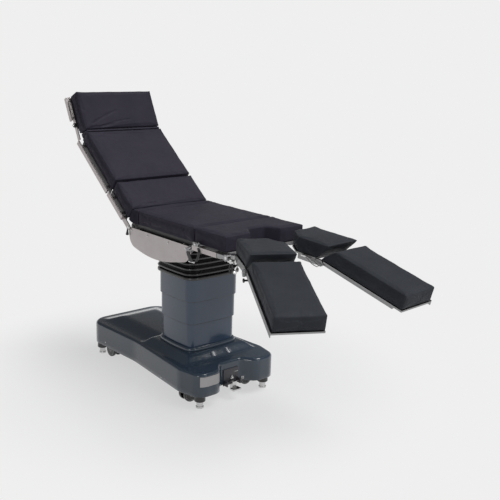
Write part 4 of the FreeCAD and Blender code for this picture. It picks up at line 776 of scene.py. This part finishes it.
# Pads
# Each pad is foam on a board in a sewn cover of coated stretch fabric: nearly black and dull, with
# a fine weave. The foam presses out a little between the corners and shows soft folds.
def fabric(slot, light, dark):
    """Stretch fabric: a weave of three sine waves along the pad, over broad soft unevenness."""
    made = Finish(slot + "_finish")
    made.coloured(light, dark, made.noise(5.0, 4.0), 0.25, 1.3)
    made.rough(made.noise(38.0, 5.0), 0.62, 0.06)
    split = made.node("ShaderNodeSeparateXYZ")
    made.link(made.node("ShaderNodeAttribute", attribute_name="cloth").outputs["Vector"], split.inputs[0])
    waves = [made.math("SINE", made.math("MULTIPLY", axis, math.tau / 0.0018)) for axis in split.outputs]
    weave = made.math("ADD", made.math("ADD", waves[0], waves[1]), waves[2])
    first = made.bump(weave, 0.20, 0.00018)
    second = made.bump(made.noise(620.0, 2.0), 0.20, 0.0004, first)
    made.bump(made.noise(24.0, 3.0), 0.16, 0.004, second)
    made.fixed(sheen=0.05, sheen_rough=0.5, level=0.14)
    finish(slot, made)


def evaluated(piece):
    graph = bpy.context.evaluated_depsgraph_get()
    return bpy.data.meshes.new_from_object(piece.evaluated_get(graph), depsgraph=graph)


def points_of(mesh, value="co"):
    """The places of a mesh's vertices, or their normals, as rows."""
    out = np.empty(len(mesh.vertices) * 3)
    mesh.vertices.foreach_get(value, out)
    return out.reshape(-1, 3)


def set_points(mesh, points):
    mesh.vertices.foreach_set("co", np.ascontiguousarray(points, dtype=np.float32).ravel())
    mesh.update()


def evened(mesh, rounds):
    """Points moved halfway towards the mean of their neighbours, a number of times."""
    points, edges = points_of(mesh), np.empty(len(mesh.edges) * 2, dtype=np.int64)
    mesh.edges.foreach_get("vertices", edges)
    one, two = edges.reshape(-1, 2).T
    count = np.maximum(np.bincount(np.concatenate([one, two]), minlength=len(points)), 1)[:, None]
    for _ in range(rounds):
        total = np.column_stack([np.bincount(one, points[two, i], len(points))
                                 + np.bincount(two, points[one, i], len(points)) for i in range(3)])
        points = (points + total / count) / 2
    return points


def ripple(points):
    """Soft unevenness between -1 and 1: a sum of sines along tilted directions, at four scales."""
    ways = np.array([(53, 31, 12, 0.4), (-37, 61, 23, 1.9), (97, -71, 40, 3.1), (-143, 121, -90, 5.0)])
    return np.sin(points @ ways[:, :3].T + ways[:, 3]) @ (0.36, 0.32, 0.2, 0.12)


class Pad:
    """One pad: its solid drawn in, swollen by a cloth simulation, then crowned and creased."""

    def __init__(self, node, body, place, slot, folds=(), crown=0.003, pull=0.0015):
        self.node, self.body, self.place, self.slot = node, body, place, slot
        self.folds, self.crown, self.pull = folds, crown, pull

    def start(self, inset=(0.0006, 0.0020, 0.0018), cell=0.0046):
        mesh = nodes[self.node].data.copy()
        mesh.transform(self.place.inverted())
        work = bmesh.new()
        work.from_mesh(mesh)
        bmesh.ops.remove_doubles(work, verts=work.verts, dist=1e-6)
        bmesh.ops.recalc_face_normals(work, faces=work.faces)
        work.to_mesh(mesh)
        work.free()
        points = points_of(mesh)
        self.low, self.high = points.min(0), points.max(0)
        middle = (self.low + self.high) / 2
        set_points(mesh, middle + (points - middle) * (1 - 2 * np.array(inset) / (self.high - self.low)))
        self.work = bpy.data.objects.new(self.node + "_form", mesh)
        scene.collection.objects.link(self.work)
        remesh = self.work.modifiers.new("cells", "REMESH")
        remesh.mode = "VOXEL"
        remesh.voxel_size = cell
        fine = evaluated(self.work)
        self.work.modifiers.clear()
        self.work.data = fine
        bpy.data.meshes.remove(mesh)
        self.rest = evened(fine, 1)
        set_points(fine, self.rest)

    def stuff(self):
        """Pressure from inside, without gravity, as the foam gives it."""
        cloth = self.work.modifiers.new("stuffing", "CLOTH")
        cloth.settings.use_pressure = True
        cloth.settings.uniform_pressure_force = 4
        cloth.settings.effector_weights.gravity = 0
        cloth.settings.quality = 4
        cloth.settings.bending_stiffness = 0.6
        cloth.collision_settings.use_collision = False
        cloth.collision_settings.use_self_collision = False

    def settle(self, cap=0.0035):
        """The simulated move of each point, no further than the cap."""
        moved = points_of(evaluated(self.work)) - self.rest
        self.work.modifiers.clear()
        far = np.linalg.norm(moved, axis=1)[:, None]
        set_points(self.work.data, self.rest + moved * np.minimum(1, cap / np.maximum(far, 1e-9)))

    def sewn(self):
        """One subdivision, then the crown, the drawn-in sides and the creases."""
        self.work.modifiers.new("fine", "SUBSURF").levels = 1
        fine = evaluated(self.work)
        points = self.sculpted(points_of(fine), points_of(fine, "normal"))
        set_points(fine, points)
        cloth = fine.attributes.new("cloth", "FLOAT_VECTOR", "POINT")
        cloth.data.foreach_set("vector", points.astype(np.float32).ravel())
        fine.transform(self.place)
        fine.shade_smooth()
        fine.name = self.node + "_cover"
        piece = bpy.data.objects.new(self.node + "_cover", fine)
        scene.collection.objects.link(piece)
        old = self.work.data
        bpy.data.objects.remove(self.work)
        bpy.data.meshes.remove(old)
        dress(piece, self.slot, self.body, self.node)
        return piece

    def sculpted(self, points, normals):
        """The top rises by a flat-topped power curve, the long sides draw in between corners."""
        low, high = self.low, self.high
        u, v, w = ((points - (low + high) / 2) / ((high - low) / 2)).T
        inside = np.clip(1 - np.abs(u) ** 5, 0, 1) * np.clip(1 - np.abs(v) ** 5, 0, 1)
        points[:, 2] += self.crown * inside * np.clip((w - 0.2) / 0.8, 0, 1) ** 2
        side = np.clip((np.abs(v) - 0.9) / 0.1, 0, 1) * np.clip(1 - np.abs(u) ** 4, 0, 1)
        points[:, 1] -= np.sign(v) * side * self.pull * (1 - w ** 2) * 1.5
        points[:, 2] += np.clip((w - 0.75) / 0.2, 0, 1) * self.creases(points)
        points += normals * (ripple(points) * 0.0009)[:, None]
        return np.clip(points, low + (0.0004, -0.001, 0.0004), high + (-0.0004, 0.001, 0.003))

    def creases(self, points):
        """Each fold is a trough along a bowed line with a lip on both sides: bell curves of the
        distance across it, faded at its ends."""
        total = np.zeros(len(points))
        for x0, y0, x1, y1, width, depth, bow in self.folds:
            along = np.array([x1 - x0, y1 - y0])
            length = np.linalg.norm(along)
            along /= length
            offset = points[:, :2] - (x0, y0)
            t = offset @ along / length
            d = (offset @ (-along[1], along[0]) - bow * np.clip(4 * t * (1 - t), 0, 1)) / width
            ends = np.clip(t / 0.25, 0, 1) * np.clip((1 - t) / 0.35, 0, 1)
            ends = np.where((t < 0) | (t > 1), 0, ends * ends * (3 - 2 * ends))
            total += ends * depth * (0.7 * np.exp(-((np.abs(d) - 1.9) ** 2)) - np.exp(-d * d))
        return total


fabric("pad_cover", srgb(59, 55, 68), srgb(50, 47, 59))
fabric("leg_pad_cover", srgb(62, 65, 71), srgb(53, 56, 62))
pads = [
    Pad("seat_pad", "seat", SEAT, "pad_cover",
        [(0.07, -0.20, 0.20, 0.02, 0.012, 0.0018, 0.01), (0.09, 0.10, 0.30, 0.14, 0.014, 0.0016, 0),
         (0.060, -0.24, 0.075, 0.10, 0.007, 0.0018, 0.006)]),
    Pad("pelvic_pad", "seat", SEAT, "pad_cover", [(0.60, -0.18, 0.66, -0.10, 0.010, 0.0014, 0)],
        crown=0.002),
    Pad("lower_back_pad", "lower_back", BACK, "pad_cover",
        [(0.015, 0.20, 0.05, -0.20, 0.010, 0.0026, 0.01), (0.035, 0.22, 0.02, 0.02, 0.008, 0.0020, 0)]),
    Pad("upper_back_pad", "upper_back", BACK, "pad_cover",
        [(0.600, 0.240, 0.575, -0.16, 0.0065, 0.0036, -0.012),
         (0.560, 0.245, 0.552, 0.02, 0.0060, 0.0032, 0.008),
         (0.520, 0.225, 0.535, -0.10, 0.0070, 0.0030, -0.010),
         (0.585, 0.12, 0.560, -0.22, 0.0060, 0.0024, 0.006),
         (0.480, 0.200, 0.490, -0.02, 0.0090, 0.0018, 0.006)]),
    Pad("head_pad", "head", HEAD, "pad_cover",
        [(0.012, 0.235, 0.125, -0.03, 0.014, 0.0046, 0.012),
         (0.010, 0.200, 0.060, -0.16, 0.011, 0.0034, 0.010),
         (0.008, 0.245, 0.030, 0.02, 0.008, 0.0028, 0)]),
]
for hand in ("near", "far"):
    pads.append(Pad(f"thigh_pad_{hand}", f"thigh_{hand}", THIGH[hand], "leg_pad_cover", crown=0.002))
    pads.append(Pad(f"calf_pad_{hand}", f"calf_{hand}", CALF[hand], "leg_pad_cover", crown=0.003))
for pad in pads:
    pad.start()
for pad in pads:
    pad.stuff()
for step in range(1, 21):
    scene.frame_set(step)
for pad in pads:
    pad.settle()
scene.frame_set(1)
for pad in pads:
    pad.sewn()


# Boards under the pads
# The frames that carry the seat and back pads are enamelled black, and a black edge strip behind
# each accessory rail closes the space between the rail and the pad.
def local_box(node, place):
    """The lowest and highest corner of a solid, in a section's own frame."""
    points = placed(points_of(nodes[node].data), place.inverted())
    return points.min(0), points.max(0)


for node in ("seat_frame", "lower_back_frame", "upper_back_frame", "head_frame"):
    for spot in nodes[node].material_slots:
        spot.material = finishes["black_plastic"]
for section, place, start, end in (("lower_back", BACK, 0.012, 0.211), ("upper_back", BACK, 0.217, 0.606),
                                   ("head", HEAD, 0.036, 0.228)):
    under = local_box(f"{section}_pad", place)[0][2]
    rail_top = local_box("head_bars" if section == "head" else f"{section}_rails", place)[1][2]
    strip = resampled(np.array([(start, rail_top - 0.030), (end, rail_top - 0.030), (end, under + 0.002),
                                (start, under + 0.002)]), 0.004)
    for hand, side in (("near", 1), ("far", -1)):
        dress(plate(f"{section}_edge_{hand}", strip, 0.2500, 0.2545, place @ side_frame(side), 0.0006),
              "black_plastic", section)


# Fold between seat and back
# A soft sleeve of the same fabric joins the two sections over the hinge. It gathers into upright
# puckers at its sides and a few curved creases on top.
bridge = Pad("fold_bridge", None, SEAT, "pad_cover",
             [(0.004, 0.24, 0.010, -0.20, 0.005, 0.0034, 0.005),
              (0.020, 0.10, 0.024, -0.25, 0.005, 0.0030, 0.003),
              (0.036, 0.24, 0.040, -0.16, 0.006, 0.0032, -0.005)],
             crown=0.001, pull=0.0)
bridge.start(inset=(0.0006, 0.0012, 0.0008), cell=0.004)
fold = bridge.sewn()
points = points_of(fold.data)
sides = np.clip((np.abs(points[:, 1]) - 0.240) / 0.015, 0, 1)
waves = np.sin(points[:, 0] * math.tau / 0.0135) + 0.45 * np.sin(points[:, 0] * math.tau / 0.0071 + 1)
points[:, 1] += np.sign(points[:, 1]) * sides * (waves - 1.0) * 0.0026
set_points(fold.data, points)
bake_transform(fold)


# Gusset under the head section
# A narrow soft wedge of fabric closes the mitre between the back and the head section.
wedge = resampled(anticlockwise(rounded([(0.6133, -0.0012), (0.6262, -0.0755), (0.6575, -0.0690),
                                         (0.6262, -0.0012)], [0.003, 0.008, 0.008, 0.003])), 0.0025)
stations = np.concatenate([[-0.2505, -0.2500], np.linspace(-0.2485, 0.2485, 160), [0.2500, 0.2505]])
inner = np.concatenate([[0.80, 0.93], np.ones(160), [0.93, 0.80]])[:, None, None]
flat = wedge.mean(0) + (wedge - wedge.mean(0)) * inner
grid = np.concatenate([flat[..., :1], np.broadcast_to(stations[:, None, None], flat[..., :1].shape),
                       flat[..., 1:]], axis=2)
pucker = np.sin(grid[..., 1] * math.tau / 0.031) + 0.6 * np.sin(grid[..., 1] * math.tau / 0.013 + 1)
grid[..., 2] -= 0.0007 * (1.6 + pucker) * (grid[..., 2] > -0.02)
gusset = grid_piece("head_gusset", placed(grid, BACK), ring=True, shut=True, angle=70)
cloth = gusset.data.attributes.new("cloth", "FLOAT_VECTOR", "POINT")
cloth.data.foreach_set("vector", placed(points_of(gusset.data), BACK.inverted()).astype(np.float32).ravel())
dress(gusset, "pad_cover", None)
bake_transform(gusset)


# Metalwork of the leg sections
# Each leg is locked by a bent rod lever at the hip, a toothed wheel at the knee and a clamp under
# the thigh with a pull loop on its inner side. Knobs are chromed or black.
for hand, side in (("near", -1), ("far", 1)):
    hip = HIP[hand] @ side_frame(side)
    dress(turned(f"hip_hub_{hand}", hip @ shift(0.037, -0.009, 0),
                 [(0.0050, -0.0135), (0.0050, 0.0146), (0.0098, 0.0148), (0.0110, 0.0160), (0.0110, 0.0240),
                  (0.0100, 0.0262), (0.0060, 0.0274), (0.0030, 0.0276)], 32),
          "bright_steel", f"hip_lever_{hand}", f"hip_lever_{hand}")
    dress(rod_along(f"hip_loop_{hand}",
                    [(0.0320, -0.014, 0.0215), (0.0275, -0.034, 0.0215), (0.0285, -0.056, 0.0215),
                     (0.0370, -0.0655, 0.0215), (0.0455, -0.056, 0.0215), (0.0465, -0.034, 0.0215),
                     (0.0420, -0.014, 0.0215)], 0.0032, hip, 12, aside=(0, 0, 1)),
          "black_plastic", f"hip_lever_{hand}", f"hip_lever_{hand}")
    knee = CALF[hand] @ side_frame(side)
    dress(turned(f"knee_wheel_{hand}", knee,
                 [(0.0100, 0.0010), (0.0158, 0.0020), (0.0165, 0.0030), (0.0165, 0.0120), (0.0156, 0.0132),
                  (0.0105, 0.0134), (0.0092, 0.0118), (0.0075, 0.0118)], 144, lobes=24, depth=0.045),
          "grey_plastic", f"knee_knob_{hand}", f"knee_knob_{hand}")
    dress(turned(f"knee_bolt_{hand}", knee,
                 [(0.0074, 0.0100), (0.0076, 0.0145), (0.0066, 0.0157), (0.0030, 0.0159),
                  (0.0028, 0.0138)], 6),
          "bright_steel", f"knee_knob_{hand}", f"knee_knob_{hand}")
    dress(turned(f"calf_knob_{hand}", knee @ shift(0.012, -0.031, 0),
                 [(0.0040, -0.016), (0.0040, 0.0040), (0.0080, 0.0044), (0.0088, 0.0055), (0.0088, 0.0105),
                  (0.0078, 0.0120), (0.0030, 0.0124)], 60, lobes=5, depth=0.12),
          "black_plastic", f"calf_{hand}")
    thigh = THIGH[hand] @ side_frame(side)
    dress(rod_along(f"thigh_stem_{hand}", [(0.080, -0.030, -0.006), (0.080, -0.038, 0.006),
                                           (0.080, -0.048, 0.012), (0.080, -0.060, 0.013)], 0.004, thigh,
                    aside=(1, 0, 0)), "bright_steel", f"thigh_{hand}")
    dress(turned(f"thigh_knob_{hand}", THIGH[hand] @ shift(0.080, side * 0.013, -0.0645),
                 [(0.0040, -0.0095), (0.0074, -0.0080), (0.0092, -0.0045), (0.0096, 0.0000), (0.0090, 0.0045),
                  (0.0070, 0.0078), (0.0042, 0.0092)], 8), "bright_steel", f"thigh_{hand}")
    inward = THIGH[hand] @ side_frame(-side)
    clamp = resampled(anticlockwise(rounded([(0.127, -0.012), (0.160, -0.012), (0.160, -0.003),
                                             (0.127, -0.003)], [0.002] * 4)), 0.002)
    dress(plate(f"thigh_clamp_{hand}", clamp, 0.2175, 0.2275, inward, 0.0012), "bright_steel",
          f"thigh_{hand}")
    dress(rod_along(f"pull_loop_{hand}",
                    [(0.158, -0.007, 0.2250), (0.178, -0.008, 0.2255), (0.205, -0.018, 0.2260),
                     (0.236, -0.026, 0.2260), (0.242, -0.033, 0.2260), (0.232, -0.037, 0.2260),
                     (0.204, -0.032, 0.2260), (0.176, -0.020, 0.2255), (0.158, -0.012, 0.2250)],
                    0.0024, inward, 10, aside=(0, 0, 1)), "bright_steel", f"thigh_{hand}")
